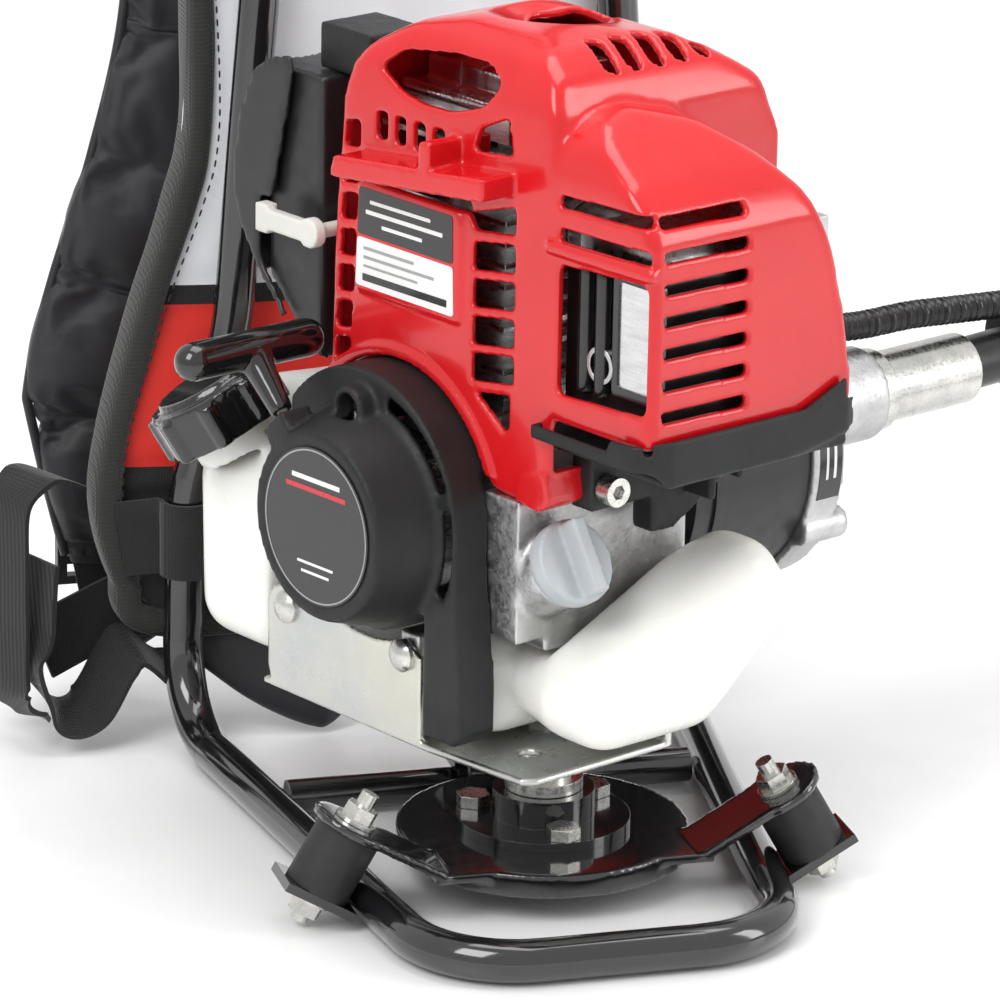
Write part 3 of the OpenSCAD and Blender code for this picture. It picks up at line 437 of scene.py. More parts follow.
M = {
    "red": material("red_gloss", (0.58, 0.006, 0.01), 0.22, coat=0.35, grain=700, bump=0.012, var=0.04,
                    rough_var=0.05,
                    color2=(0.62, 0.009, 0.013), bevel=0, spec=0.4),
    "black_paint": material("black_paint", (0.006, 0.006, 0.007), 0.14, coat=1.0, grain=260, bump=0.03,
                            var=0.1,
                            edge_color=(0.05, 0.05, 0.052), edge=0.5, bevel=0.6),
    "zinc": material("zinc", (0.6, 0.6, 0.58), 0.27, metal=1.0, grain=800, bump=0.03, var=0.12, rough_var=0.1,
                     edge_color=(0.85, 0.85, 0.84), bevel=0.35, cloud=120, color2=(0.72, 0.71, 0.66)),
    "plated": material("plated_sheet", (0.56, 0.58, 0.6), 0.3, metal=1.0, grain=1500, bump=0.02, var=0.1,
                       rough_var=0.1,
                       color2=(0.66, 0.65, 0.56), edge_color=(0.85, 0.85, 0.83), bevel=0.7, cloud=16),
    "cast": material("cast_aluminium", (0.5, 0.5, 0.5), 0.42, metal=1.0, grain=520, bump=0.22, var=0.14,
                     rough_var=0.12,
                     edge_color=(0.8, 0.8, 0.8), bevel=0, cloud=70),
    "machined": material("machined_aluminium", (0.62, 0.62, 0.62), 0.3, metal=1.0, grain=900, bump=0.03,
                         var=0.1,
                         edge_color=(0.9, 0.9, 0.9), bevel=0.4, streak=(1, 1, 8)),
    "steel": material("steel", (0.46, 0.46, 0.46), 0.3, metal=1.0, grain=900, bump=0.03, var=0.12, bevel=0.4,
                      edge_color=(0.75, 0.75, 0.75)),
    "bright": material("bright_steel", (0.75, 0.75, 0.76), 0.22, metal=1.0, grain=900, bump=0.04, var=0.1,
                       bevel=0,
                       streak=(1, 1, 0.05)),
    "moulded": material("moulded_black", (0.014, 0.0145, 0.015), 0.5, grain=1700, bump=0.07, var=0.12,
                        rough_var=0.06,
                        bevel=0, spec=0.3, color2=(0.018, 0.0185, 0.0195)),
    "plastic": material("black_plastic", (0.012, 0.012, 0.013), 0.38, grain=1400, bump=0.05, var=0.12,
                        edge_color=(0.04, 0.04, 0.04), bevel=0.5),
    "gloss": material("gloss_black", (0.006, 0.006, 0.006), 0.1, coat=0.6, grain=300, bump=0.012, var=0.05,
                      bevel=0),
    "heat": material("heat_black", (0.01, 0.01, 0.01), 0.2, coat=0.3, grain=900, bump=0.02, bevel=0.4),
    "rubber": material("rubber", (0.012, 0.012, 0.012), 0.55, grain=1500, bump=0.05, bevel=0.8,
                       edge_color=(0.05, 0.05, 0.05)),
    "hose": material("hose_rubber", (0.01, 0.01, 0.011), 0.3, grain=1500, bump=0.03, bevel=0),
    "tank": material("tank_plastic", (0.87, 0.87, 0.82), 0.25, grain=900, bump=0.008, var=0.006,
                     rough_var=0.03, bevel=0,
                     sub=0.2, color2=(0.88, 0.88, 0.835), spec=0.4),
    "grey": material("grey_plastic", (0.42, 0.45, 0.47), 0.4, grain=1500, bump=0.04, bevel=0, var=0.05,
                     sub=0.05),
    "lightgrey": material("pale_plastic", (0.62, 0.62, 0.58), 0.45, grain=1500, bump=0.04, bevel=0.4,
                          var=0.05),
    "bronze": material("bronze", (0.55, 0.38, 0.18), 0.35, metal=1.0, grain=900, bump=0.05, bevel=0.4),
    "porcelain": material("porcelain", (0.85, 0.85, 0.82), 0.12, coat=0.5, grain=600, bump=0.01, bevel=0.3),
    "foam": material("foam", (0.04, 0.04, 0.042), 0.95, grain=900, bump=0.6, bevel=0),
    "rope": weave("rope", (0.5, 0.49, 0.45), 900, bump=0.3),
    "switch": material("switch_red", (0.5, 0.04, 0.02), 0.35, grain=1200, bump=0.03, bevel=0.4),
    "label_black": material("label_black", (0.012, 0.012, 0.013), 0.22, grain=500, bump=0.01, bevel=0,
                            coat=0.3),
    "label_white": material("label_white", (0.75, 0.75, 0.74), 0.3, grain=500, bump=0.01, bevel=0, var=0.03),
    "label_grey": material("label_grey", (0.3, 0.3, 0.3), 0.3, grain=500, bump=0.01, bevel=0, var=0.03),
    "label_red": material("label_red", (0.55, 0.03, 0.04), 0.3, grain=500, bump=0.01, bevel=0, var=0.03),
    "pad_white": weave("pad_white", (0.72, 0.73, 0.76), 900, rough=0.38, bump=0.03, sheen=0.1, wrinkle=0.4),
    "pad_red": weave("pad_red", (0.62, 0.02, 0.012), 900, rough=0.6, bump=0.06, sheen=0.15, wrinkle=0.3),
    "pad_black": weave("pad_black", (0.018, 0.018, 0.019), 500, rough=0.75, bump=0.25, wrinkle=0.3),
    "binding": weave("binding", (0.03, 0.031, 0.029), 420, rough=0.9, bump=0.35, rib=0.5),
    "webbing": weave("webbing", (0.014, 0.014, 0.015), 330, rough=0.8, bump=0.3, rib=1.4),
    "nylon": weave("quilted_nylon", (0.014, 0.0145, 0.017), 1100, rough=0.36, bump=0.05, sheen=0.25,
                   wrinkle=1.1),
    "thread": weave("thread", (0.01, 0.01, 0.01), 1500, rough=0.6, bump=0.1),
}


# ---------------------------------------------------------------- red engine cover
HOOD = [(59.5, 158), (58, 205), (53.5, 262), (50, 273), (42, 281), (26, 290), (6, 294.5), (-20, 294.5),
        (-36, 291),
        (-46, 284), (-51, 274), (-51, 158), (-46, 149), (-36, 146)]
HOOD_SIDE = [(-46, 130), (-46, 262), (-45, 277), (-40, 288), (-30, 294), (-18, 295.5), (20, 289), (42, 276),
             (50, 258),
             (52, 200), (52, 130)]
SHROUD = [(-44, 177), (-44, 283), (-52, 279), (-70, 269), (-84, 260), (-92, 253), (-96.5, 245), (-97, 232),
          (-97, 177)]
SHROUD_SIDE = [(-46, 177), (-46, 258), (-43, 268), (-34, 274), (-20, 276), (0, 271), (12, 262), (22, 250),
               (31, 232),
               (38, 207), (41, 188), (41, 177)]


def convex(front, side, y0, y1, name):
    a = prism(front, "x", -70, 70, name)
    b = prism(side, "y", y0, y1)
    return boolean(a, b, "INTERSECT")


def top_cover():
    hood = remesh(convex(HOOD, HOOD_SIDE, -60, 70, "hood"), 1.8, 14)
    shroud = remesh(convex(SHROUD, SHROUD_SIDE, -100, -30, "shroud"), 1.8, 10)
    ob = boolean(hood, shroud, "UNION")
    ob = remesh(ob, 1.4, 5)
    # shallow dish in the top
    dish = lathe([(0, 6), (3.5, 16), (10, 30), (20, 34)], (6, 2, 286), (-0.08, 0, 1), 40)
    boolean(ob, dish)
    inner = ob.copy()
    inner.data = ob.data.copy()
    bpy.context.scene.collection.objects.link(inner)
    d = inner.modifiers.new("d", "DISPLACE")
    d.strength = -0.0026
    d.mid_level = 0
    apply(inner, d)
    remesh(inner, 1.3, 3)
    boolean(ob, inner)
    boolean(ob, prism([(-43, 120), (-43, 210), (47, 210), (47, 120)], "y", -47.5, 55, "under"))
    boolean(ob, prism([(-43, 160), (-43, 186), (37.5, 186), (37.5, 160)], "y", -94, -40))
    # arch over the fan housing, and the drive cover's clearance
    boolean(ob, lathe([(-70, 47.3), (-30, 47.3)], SCROLL, (1, 0, 0), 96))
    boolean(ob, lathe([(30, 52.5), (70, 52.5)], (0, CY, CZ), (1, 0, 0), 64))
    boolean(ob, prism([(-36.5, 100), (-36.5, 168), (38, 168), (38, 100)], "y", -41, 61))
    # windows of the front face
    def win(pts, r=1.6, x0=-60, x1=-34):
        return prism(fillet([(-w, z) for w, z in pts], r), "x", x0, x1)
    tools = [
        win([(-35, 274), (-26, 281), (-4, 284), (16, 284), (23, 279), (16, 271), (1, 266.5), (-12, 266),
             (-24, 268)], 3),
        win([(15, 264), (28.5, 270), (31, 258.5), (12.5, 256.5)], 2),
        win([(-40.5, 246.2), (33, 253.6), (33, 246.2), (-41.5, 238.8)], 1.4),
        win([(-41.5, 237.4), (11, 240.5), (12, 236.5), (33, 242.4), (33, 233.6), (14, 231.2), (10, 236.2),
             (-41.5, 235.8)], 0.8),
        win([(14.6, 178.3), (32, 181), (31.6, 170.5), (29, 168.5)], 1.2),
    ]
    for z in (222.6, 210.4, 198.2, 186.2):
        tools.append(win([(12.6, z - 4.6), (12.8, z + 4.6), (33, z + 7.6), (33, z - 1.4)], 1.3))
    for i in range(5):
        w = -35.5 + i * 9.3
        tools.append(win([(w, 250.4), (w, 259.6), (w + 5.6, 260.2), (w + 5.6, 251)], 2.0))
    for i in range(7):
        z = 177 + i * 12.2
        s = -(z - 177) * 0.055
        tools.append(win([(-56 - s, z - 5.4), (-55 - s, z + 3.2), (-47.2 - s, z + 4.6),
                          (-47.6 - s, z - 4.4)], 1.3))
    # shroud: slots and window of the front face
    tools.append(win([(53.6, 247.2), (53.6, 251.2), (95, 252.4), (95, 248.6)], 0.8, -60, -41))
    tools.append(win([(53.8, 236.4), (53.8, 240.6), (95, 241.6), (95, 237.4)], 0.8, -60, -41))
    tools.append(win([(53.8, 187.2), (53.8, 229), (94.4, 231), (94.4, 189.2)], 3.0, -60, -41))
    cut_all(ob, tools)
    # slots of the side face
    tools = []
    for i in range(7):
        z = 188.2 + i * 10.2
        tools.append(prism(fillet([(-40, z - 1.7), (-40.5, z + 2.1), (-5.5, z + 1.6), (-5, z - 2.2)], 0.7),
                           "y", -110, -90))
    cut_all(ob, tools)
    # slots in the top, and the opening in the dish
    tools = []
    for i in range(5):
        x = -20 + i * 9.5
        tools.append(prism(fillet([(x, -44), (x + 5, -46), (x + 7, -33), (x + 2, -31)], 2.0), "z", 262, 310))
    tools.append(prism(fillet([(-12, 4), (2, 16), (20, 10), (27, -1), (8, -11), (-6, -7)], 4), "z", 262, 310))
    cut_all(ob, tools)
    # lip round the arch, label plate, window frame and the flange at the foot
    lip = lathe([(-47.4, 47.4), (-47.4, 50.7), (-46.2, 51.5), (-42, 51.5), (-42, 47.4)], SCROLL, (1, 0, 0),
                96)
    boolean(lip, lathe([(-60, 47.35), (-30, 47.35)], SCROLL, (1, 0, 0), 96))
    boolean(lip, prism([(-30, 152), (58, 158), (58, 240), (-30, 240)], "x", -60, -30), "INTERSECT")
    plate = prism(fillet([(44, 199), (42.5, 236), (-6.5, 236), (-8.5, 232), (-8.2, 199)], 2.2), "x", -47.3,
                  -44)
    hood_rib = prism(fillet([(-48.5, 232.4), (-48.5, 235.6), (-97.4, 236.2), (-97.4, 232.8)], 0.9), "x",
                     -47.2, -43.5)
    foot = prism(fillet([(-35, 148), (-37, 156), (-50, 160), (-52, 150), (-46, 146)], 2), "x", -46.4, -30)
    for t in (lip, plate, hood_rib, foot):
        boolean(ob, t, "UNION")
    remesh(ob, 0.85, 3, 0.5)
    return finish_piece(ob, "cover_shell", "engine", M["red"], "top_cover")


top_cover()


LABEL_X = -47.25              # face of the two labels on the cover
PRINT_X = -47.5               # face of the bars printed on them


def decal(pts, x, name, mat, body="engine", depth=0.25):
    """A thin label with rounded corners on the plane x."""
    ob = prism(fillet([(-w, z) for w, z in pts], 1.4), "x", x - depth, x, name)
    return finish_piece(shade(ob, 30), name, body, mat, None)


def bars(rows, x, name, mat):
    """Plain stripes standing in for the print on a label."""
    obs = [prism(fillet([(-w0, z0), (-w0, z1), (-w1, z1 + (w1 - w0) * 0.01), (-w1, z0 + (w1 - w0) * 0.01)],
                        0.3), "x", x - 0.12, x)
           for w0, w1, z0, z1 in rows]
    return finish_piece(join(*obs), name, "engine", mat, None)


decal([(-42.2, 218.2), (-41.6, 233.8), (4.6, 233.8), (5, 218.2)], LABEL_X, "label_upper", M["label_black"])
decal([(-43, 201), (-42.3, 217.2), (5, 217.2), (5.6, 201)], LABEL_X, "label_lower", M["label_white"])
bars([(-36, -6, 229, 230.2), (-38, 0, 225.4, 226.8), (-30, -10, 221.8, 223)], PRINT_X, "label_upper_bars",
     M["label_white"])
bars([(-39, -14, 213.4, 214.4), (-39, -4, 210.4, 211.4), (-39, -12, 207.6, 208.4)], PRINT_X,
     "label_lower_bars", M["label_grey"])
bars([(-39.4, 2.4, 203, 205.4)], PRINT_X, "label_code_bar", M["label_black"])


# ---------------------------------------------------------------- fan and starter housing
def recoil():
    ob = remesh(copy_node("recoil_housing", "recoil"), 1.0, 6, 0.5)
    return finish_piece(ob, "fan_housing", "engine", M["moulded"], "recoil_housing")


recoil()
ring = lathe([(-0.9, 26.1), (0, 26.1)], (-81.4, CY, CZ), (1, 0, 0), 96, "disc")
finish_piece(shade(ring, 30), "starter_disc", "engine", M["label_black"])


def thin_ring(r0, r1, x, name, mat):
    n = 96
    verts, faces = [], []
    for r, h in ((r0, 0), (r1, 0), (r1, 0.15), (r0, 0.15)):
        for k in range(n):
            t = 2 * math.pi * k / n
            verts.append((x - h, CY + r * math.cos(t), CZ + r * math.sin(t)))
    for j in range(4):
        for k in range(n):
            k1 = (k + 1) % n
            faces.append([j * n + k, j * n + k1, ((j + 1) % 4) * n + k1, ((j + 1) % 4) * n + k])
    return finish_piece(shade(new_mesh(name, verts, faces), 30), name, "engine", mat)


thin_ring(25.0, 25.5, -82.3, "starter_disc_ring", M["label_grey"])
disc_rows = []
for k, (half, z) in enumerate(((12, 146), (15, 142.5), (9, 118), (7, 115))):
    disc_rows.append((-CY - half, -CY + half, z, z + (1.6 if k < 2 else 0.9)))
bars([disc_rows[1]], -82.3, "starter_disc_bar_red", M["label_red"])
bars([disc_rows[0], disc_rows[2], disc_rows[3]], -82.3, "starter_disc_bars", M["label_white"])


# ---------------------------------------------------------------- tank, caps, air cleaner, guard and castings
rounded_copy("fuel_tank", "engine", M["tank"], 2.0, 14, 0.5)
rounded_copy("fuel_cap", "fuel_cap", M["gloss"], 0.9, 5, 0.5)
rounded_copy("oil_cap", "oil_cap", M["grey"], 0.8, 4, 0.5)
rounded_copy("starter_handle", "starter_handle", M["gloss"], 0.9, 6, 0.5)
rounded_copy("air_cleaner_cover", "engine", M["plastic"], 1.3, 8, 0.5)
rounded_copy("air_cleaner_case", "engine", M["plastic"], 1.3, 4, 0.5)
rounded_copy("muffler_guard", "engine", M["moulded"], 1.0, 4, 0.5)
rounded_copy("crankcase", "engine", M["cast"], 1.1, 5, 0.5)
rounded_copy("carburetor", "engine", M["cast"], 1.0, 4, 0.5)
rounded_copy("rocker_cover", "engine", M["bright"], 1.0, 4, 0.5)
rounded_copy("plug_cap", "engine", M["moulded"], 1.0, 4, 0.5)
rounded_copy("clutch_housing", "engine", M["cast"], 1.1, 3, 0.5)
rounded_copy("choke_lever", "choke", M["lightgrey"], 0.7, 3, 0.5)
rounded_copy("throttle_lever", "throttle", M["plastic"], 0.7, 3, 0.5)
rounded_copy("engine_bracket", "engine", M["plated"], 0.7, 2, 0.5)
rounded_copy("turntable_plate", "frame", M["black_paint"], 1.0, 4, 0.5)
rounded_copy("head_tube", "engine", M["steel"], 1.4, 2, 0.5)


# silver plate and ribs seen through the muffler window
plate = prism(fillet([(-73, 192), (-73, 228), (-93, 228), (-93, 192)], 1.2), "x", -38.2, -37.2)
finish_piece(shade(plate, 30), "muffler_plate", "engine", M["machined"])
rim = prism(fillet([(-71.5, 190), (-71.5, 230), (-94.5, 230), (-94.5, 190)], 2), "x", -38.8, -37.4,
            "muffler_plate_frame")
boolean(rim, prism(fillet([(-74, 193), (-74, 227), (-92.4, 227), (-92.4, 193)], 1.5), "x", -40, -36))
finish_piece(shade(rim, 30), "muffler_plate_frame", "engine", M["heat"])
rib = remesh(join(*[lathe([(0, 2.6), (40, 2.6)], (-37.8, -y, 188), (0, 0, 1), 24) for y in (58, 66)]), 0.8, 3)
finish_piece(rib, "muffler_shield_ribs", "engine", M["heat"])


def rim_label(x0, x1, a0, a1, r, name, mat):
    """Label bent round the clutch housing; angles are degrees above level on the muffler side."""
    n = 24
    verts, faces = [], []
    for k in range(n + 1):
        t = math.radians(a0 + (a1 - a0) * k / n)
        for x, q in ((x0, r), (x1, r), (x1, r + 0.25), (x0, r + 0.25)):
            verts.append((x, CY - q * math.cos(t), CZ + q * math.sin(t)))
    for k in range(n):
        for j in range(4):
            j1 = (j + 1) % 4
            faces.append([4 * k + j, 4 * k + j1, 4 * (k + 1) + j1, 4 * (k + 1) + j])
    faces += [[3, 2, 1, 0], [4 * n, 4 * n + 1, 4 * n + 2, 4 * n + 3]]
    return finish_piece(shade(new_mesh(name, verts, faces), 30), name, "engine", mat)


rim_label(90.5, 100.5, -14, 44, 51.95, "clutch_label", M["label_black"])
rim_label(96.6, 97.8, -6, 36, 52.1, "clutch_label_bar_a", M["label_white"])
rim_label(93.2, 94.2, -6, 24, 52.1, "clutch_label_bar_b", M["label_white"])


# ---------------------------------------------------------------- cable conduit
def conduit():
    pts = [(16.6, 63, 222), (36, 63, 222), (58, 63, 221), (74, 57, 213), (88, 50, 204), (112, 37, 184),
           (140, 22.5, 158.5), (188, 21, 154.2),
           (238.8, 19.5, 150)]
    path = catmull(pts, 72)

    def section(i, s, length):
        r = 4.1 + 0.9 * (0.5 + 0.5 * math.tanh(3 * math.sin(2 * math.pi * s / 2.6)))
        return [(r * math.cos(2 * math.pi * k / 20), r * math.sin(2 * math.pi * k / 20)) for k in range(20)]
    ob = sweep(path, (0, 0.3, 1), section, "cable_conduit", engine=True)
    return finish_piece(ob, "cable_conduit", "engine", M["hose"], "throttle_conduit")


conduit()

# ---------------------------------------------------------------- harness
PAD_MID = 164                 # the pad's middle plane, in frame axes
PAD_Z0, PAD_Z1 = 36, 443      # the pad's lower and upper edge
STRAP_W = 59                  # width of a shoulder strap
STRAP_RIM = 29.2              # from a strap's middle to its piping
LEFT_EDGE = [(96, 36), (110, 54), (116.4, 80), (114, 108), (106, 140), (101.4, 158), (96, 175), (91, 192),
             (86.7, 210), (84.6, 242), (84, 330),
             (78, 400), (68, 427), (48, 443)]
RIGHT_EDGE = [(92, 36), (104, 60), (116, 92), (114, 112), (99, 162), (77, 196), (69, 235), (67, 265),
              (66, 330), (64, 395), (58, 427), (44, 443)]


def half_width(z, edge):
    return float(np.interp(z, [p[1] for p in edge], [p[0] for p in edge]))


def back_pad():
    nz, nx = 120, 40
    zs = np.linspace(PAD_Z0, PAD_Z1, nz)
    seams = (88, 98, 154, 164, 300)
    verts, faces, mats = [], [], []
    for side in (0, 1):
        for z in zs:
            for k in range(nx + 1):
                u = -1 + 2 * k / nx
                w = half_width(z, LEFT_EDGE if u < 0 else RIGHT_EDGE)
                ez = min((z - PAD_Z0) / 16, (PAD_Z1 - z) / 16, 1)
                crown = (1 - abs(u) ** 7) ** 0.5 * math.sqrt(max(0.0, 1 - (1 - max(0, ez)) ** 2))
                dip = sum(1.6 * math.exp(-((z - s) / 2.2) ** 2) for s in seams)
                puff = 1.1 * noise3((w * u / 22, z / 26, side * 3), 2.0)
                t = max(1.2, 9.6 * crown - dip + min(0.0, puff) * crown)
                y = PAD_MID - t if side == 0 else PAD_MID + t
                verts.append((w * u, y, z))
    n = nx + 1
    for side in (0, 1):
        o = side * nz * n
        for i in range(nz - 1):
            for k in range(nx):
                faces.append([o + i * n + k, o + i * n + k + 1, o + (i + 1) * n + k + 1, o + (i + 1) * n + k])
                z = (zs[i] + zs[i + 1]) / 2
                mats.append(0 if z > 164 else (1 if z > 154 else (2 if z > 98 else (1 if z > 88 else 3))))
    o = nz * n
    for i in range(nz - 1):
        for k in (0, nx):
            faces.append([i * n + k, (i + 1) * n + k, o + (i + 1) * n + k, o + i * n + k])
            mats.append(3)
    for i in (0, nz - 1):
        for k in range(nx):
            faces.append([i * n + k, i * n + k + 1, o + i * n + k + 1, o + i * n + k])
            mats.append(3)
    me = bpy.data.meshes.new("back_pad_soft")
    me.from_pydata([world(v, False) for v in verts], [], faces)
    for m in ("pad_white", "webbing", "pad_red", "pad_black"):
        me.materials.append(M[m])
    for p, m in zip(me.polygons, mats):
        p.material_index = m
    ob = bpy.data.objects.new("back_pad_soft", me)
    bpy.context.scene.collection.objects.link(ob)
    bm = bmesh.new()
    bm.from_mesh(me)
    bmesh.ops.recalc_face_normals(bm, faces=bm.faces)
    bm.to_mesh(me)
    bm.free()
    shade(ob, 60)
    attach(ob, "frame")
    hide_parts("back_pad")
    return ob


back_pad()


def closed_outline():
    right = list(RIGHT_EDGE)
    left = [(-x, z) for x, z in reversed(LEFT_EDGE)]
    pts = [(0, 35)] + right + [(0, 446)] + left + [(0, 35)]
    return catmull([(x, PAD_MID, z) for x, z in pts], 14)


def pad_binding():
    path = closed_outline()
    def section(i, s, length):
        return super_section(10 + 0.5 * math.sin(s / 9), 20.5, 24, 3.4)
    side = [np.array((p[0], 0, p[2] - 200), float) for p in path]
    side = [s / np.linalg.norm(s) for s in side]
    path = [p - s * 4.5 for p, s in zip(path, side)]
    ob = sweep(path, side, section, "pad_binding")
    return finish_piece(ob, "pad_binding", "frame", M["binding"])


pad_binding()


def stitches(path, normal, name, pitch=4.5, long=2.6, r=0.35, mat="thread", body="frame"):
    """Short thread dashes along a path."""
    path = [np.array(p, float) for p in path]
    verts, faces = [], []
    seg = [np.linalg.norm(path[i + 1] - path[i]) for i in range(len(path) - 1)]
    cum = np.concatenate([[0], np.cumsum(seg)])
    s = 1.0
    while s + long < cum[-1]:
        a, b = (np.array([np.interp(v, cum, [p[k] for p in path]) for k in range(3)]) for v in (s, s + long))
        d = (b - a) / np.linalg.norm(b - a)
        e1 = np.cross(d, normal)
        e1 /= np.linalg.norm(e1)
        e2 = np.cross(d, e1)
        base = len(verts)
        for p, rr in ((a, 0.4), (a + d * 0.5, 1), (b - d * 0.5, 1), (b, 0.4)):
            for k in range(6):
                t = math.pi * k / 3
                verts.append(p + (e1 * math.cos(t) + e2 * math.sin(t)) * r * rr)
        for j in range(3):
            for k in range(6):
                k1 = (k + 1) % 6
                faces.append([base + j * 6 + k, base + j * 6 + k1, base + (j + 1) * 6 + k1,
                              base + (j + 1) * 6 + k])
        faces.append([base + k for k in range(5, -1, -1)])
        faces.append([base + 18 + k for k in range(6)])
        s += pitch
    ob = new_mesh(name, verts, faces, False)
    return finish_piece(shade(ob, 60), name, body, M[mat])


inner = []
for p in closed_outline():
    s = np.array((p[0], 0, p[2] - 200), float)
    s /= np.linalg.norm(s)
    q = p - s * 10.9
    inner.append((q[0], 154.2, q[2]))
stitches(inner, (0, 1, 0), "binding_stitches")

STRAPS = (
    ("l", (-1.0, 0.05, 0.0), [(-58, 196, 425), (-61, 204, 380), (-64, 208, 320), (-67, 208, 250),
                              (-79, 206, 198), (-93, 205, 155),
                              (-101, 205, 124), (-105, 205, 92), (-107, 205, 66), (-108, 205, 48)]),
    ("r", (1.0, 0.0, 0.0), [(40, 186, 425), (42, 188, 392), (44, 190, 330), (46, 190, 262), (60, 190, 200),
                            (84, 190, 156), (96, 190, 124)]),
)


def inflate(ob, marks, ring, pressure=4.0, last=20, cap=6.0, grow=0.07):
    """Blows a sewn skin up with a short cloth simulation; marked rings are seams and stay put."""
    sc = bpy.context.scene
    seam = ob.vertex_groups.new(name="seam")
    for i, m in enumerate(marks):
        if m > 0:
            seam.add(list(range(i * ring, (i + 1) * ring)), m, "REPLACE")
    seam.add(list(range(len(marks) * ring, len(ob.data.vertices))), 1.0, "REPLACE")
    rest = np.array([v.co[:] for v in ob.data.vertices])
    c = ob.modifiers.new("cloth", "CLOTH")
    c.collision_settings.use_collision = False
    c.point_cache.frame_start = 1
    c.point_cache.frame_end = last
    t = c.settings
    t.quality = 6
    t.mass = 0.25
    t.air_damping = 2.0
    t.tension_stiffness = 14.0
    t.compression_stiffness = 14.0
    t.shear_stiffness = 5.0
    t.bending_stiffness = 0.08
    t.vertex_group_mass = "seam"
    t.shrink_min = -grow
    t.use_pressure = True
    t.uniform_pressure_force = pressure
    t.effector_weights.gravity = 0.0
    for f in range(1, last + 1):
        sc.frame_set(f)
    apply(ob, c)
    now = np.array([v.co[:] for v in ob.data.vertices])
    if now.shape == rest.shape and np.isfinite(now).all():
        move = now - rest
        far = np.maximum(np.linalg.norm(move, axis=1), 1e-9)
        print("cloth", ob.name, "median mm", round(float(np.median(far)) * 1000, 2), "max",
              round(float(far.max()) * 1000, 2))
        now = rest + move * np.minimum(1.0, cap / 1000 / far)[:, None]
    else:
        now = rest
    ob.data.vertices.foreach_set("co", now.ravel())
    ob.data.update()
    sc.frame_set(1)
    return ob


def strap_taper(tag, s, length):
    """Share of the full width: the left strap narrows to its buckle."""
    return min(1.0, 0.34 + (length - s) / 95) if tag == "l" else 1.0


def shoulder_strap(tag, side, points):
    path = catmull(points, 30)
    seed = 3 if tag == "l" else 5
    fold = 47.0
    marks = []

    def section(i, s, length):
        ph = s / fold
        q = abs(math.sin(math.pi * ph))
        puff = 0.45 + 0.55 * q ** 0.5
        end = min(1.0, s / 22 + 0.35, (length - s) / 30 + 0.25)
        w = STRAP_W * (0.95 + 0.05 * q) * (0.9 + 0.1 * end) * strap_taper(tag, s, length)
        marks.append(1.0 if q < 0.09 or s < 3 or length - s < 3 else 0.0)
        out = []
        for k in range(44):
            a = 2 * math.pi * k / 44
            c, sn = math.cos(a), math.sin(a)
            x = w / 2 * math.copysign(abs(c) ** 0.72, c)
            t = 7.5 * puff * (0.35 + 0.65 * end) * math.copysign(abs(sn) ** 0.8, sn)
            near = abs(math.sin(math.pi * (ph + 0.10 * math.sin(x / 11 + seed) + 0.04 * math.sin(x / 4.2))))
            t *= 0.75 + 0.25 * near ** 0.5
            t += 0.8 * noise3((x / 8, s / 10, sn * 2), seed) * abs(sn)
            out.append((x, t))
        return out

    ob = sweep(path, side, section, "shoulder_strap_" + tag)
    inflate(ob, marks, 44)
    ob.data.materials.append(M["nylon"])
    s = ob.modifiers.new("s", "SUBSURF")
    s.levels = s.render_levels = 1
    apply(ob, s)
    shade(ob, 180)
    return ob


straps = join(*[shoulder_strap(*a) for a in STRAPS])
finish_piece(straps, "quilted_straps", "frame", M["nylon"], "shoulder_straps")
for tag, side, points in STRAPS:
    path = catmull(points, 30)
    run = np.concatenate([[0], np.cumsum([np.linalg.norm(path[i + 1] - path[i])
                                          for i in range(len(path) - 1)])])
    for edge in (-1, 1):
        rim = [p + np.array(side) * edge * STRAP_RIM * strap_taper(tag, d, run[-1]) for p,
               d in zip(path[4:-6], run[4:-6])]
        ob = sweep(rim, side, super_section(3.6, 3.2, 10, 2), "strap_piping_%s%s" % (tag, "ab"[edge > 0]))
        finish_piece(ob, ob.name, "frame", M["nylon"])


def lumbar():
    """Wrinkled roll at the foot of the pad."""
    path = [np.array((x, 184, 71 + 3 * math.cos(x / 38))) for x in np.linspace(-96, 96, 110)]
    marks = []

    def section(i, s, length):
        out = []
        end = math.sqrt(max(0.02, min(1, s / 10, (length - s) / 10)))
        marks.append(1.0 if s < 3 or length - s < 3 else 0.0)
        for k in range(36):
            a = 2 * math.pi * k / 36
            c, sn = math.cos(a), math.sin(a)
            wr = 1 + 0.07 * math.sin(s / 3.4
                                     + 2.2 * math.sin(a * 2 + s / 15)) + 0.05 * noise3((s / 9, a * 1.5, 1), 3)
            out.append((18 * wr * end * math.copysign(abs(c) ** 0.8, c),
                        7.4 * wr * end * math.copysign(abs(sn) ** 0.85, sn)))
        return out

    ob = sweep(path, (0, 0, 1), section, "lumbar_roll")
    inflate(ob, marks, 36, cap=4.0, grow=0.1)
    s = ob.modifiers.new("s", "SUBSURF")
    s.levels = s.render_levels = 1
    apply(ob, s)
    shade(ob, 180)
    return finish_piece(ob, "lumbar_roll", "frame", M["nylon"], "lumbar_pad")


lumbar()


def ribbon(pts, side, name, w=26, t=1.8, mat="webbing", n=16):
    path = catmull(pts, n)
    if np.ndim(side) == 2:
        sides = catmull(side, n)
    else:
        sides = [np.array(side, float)] * len(path)
    ob = sweep(path, sides, flat_section(w, t), name)
    return finish_piece(ob, name, "frame", M[mat])


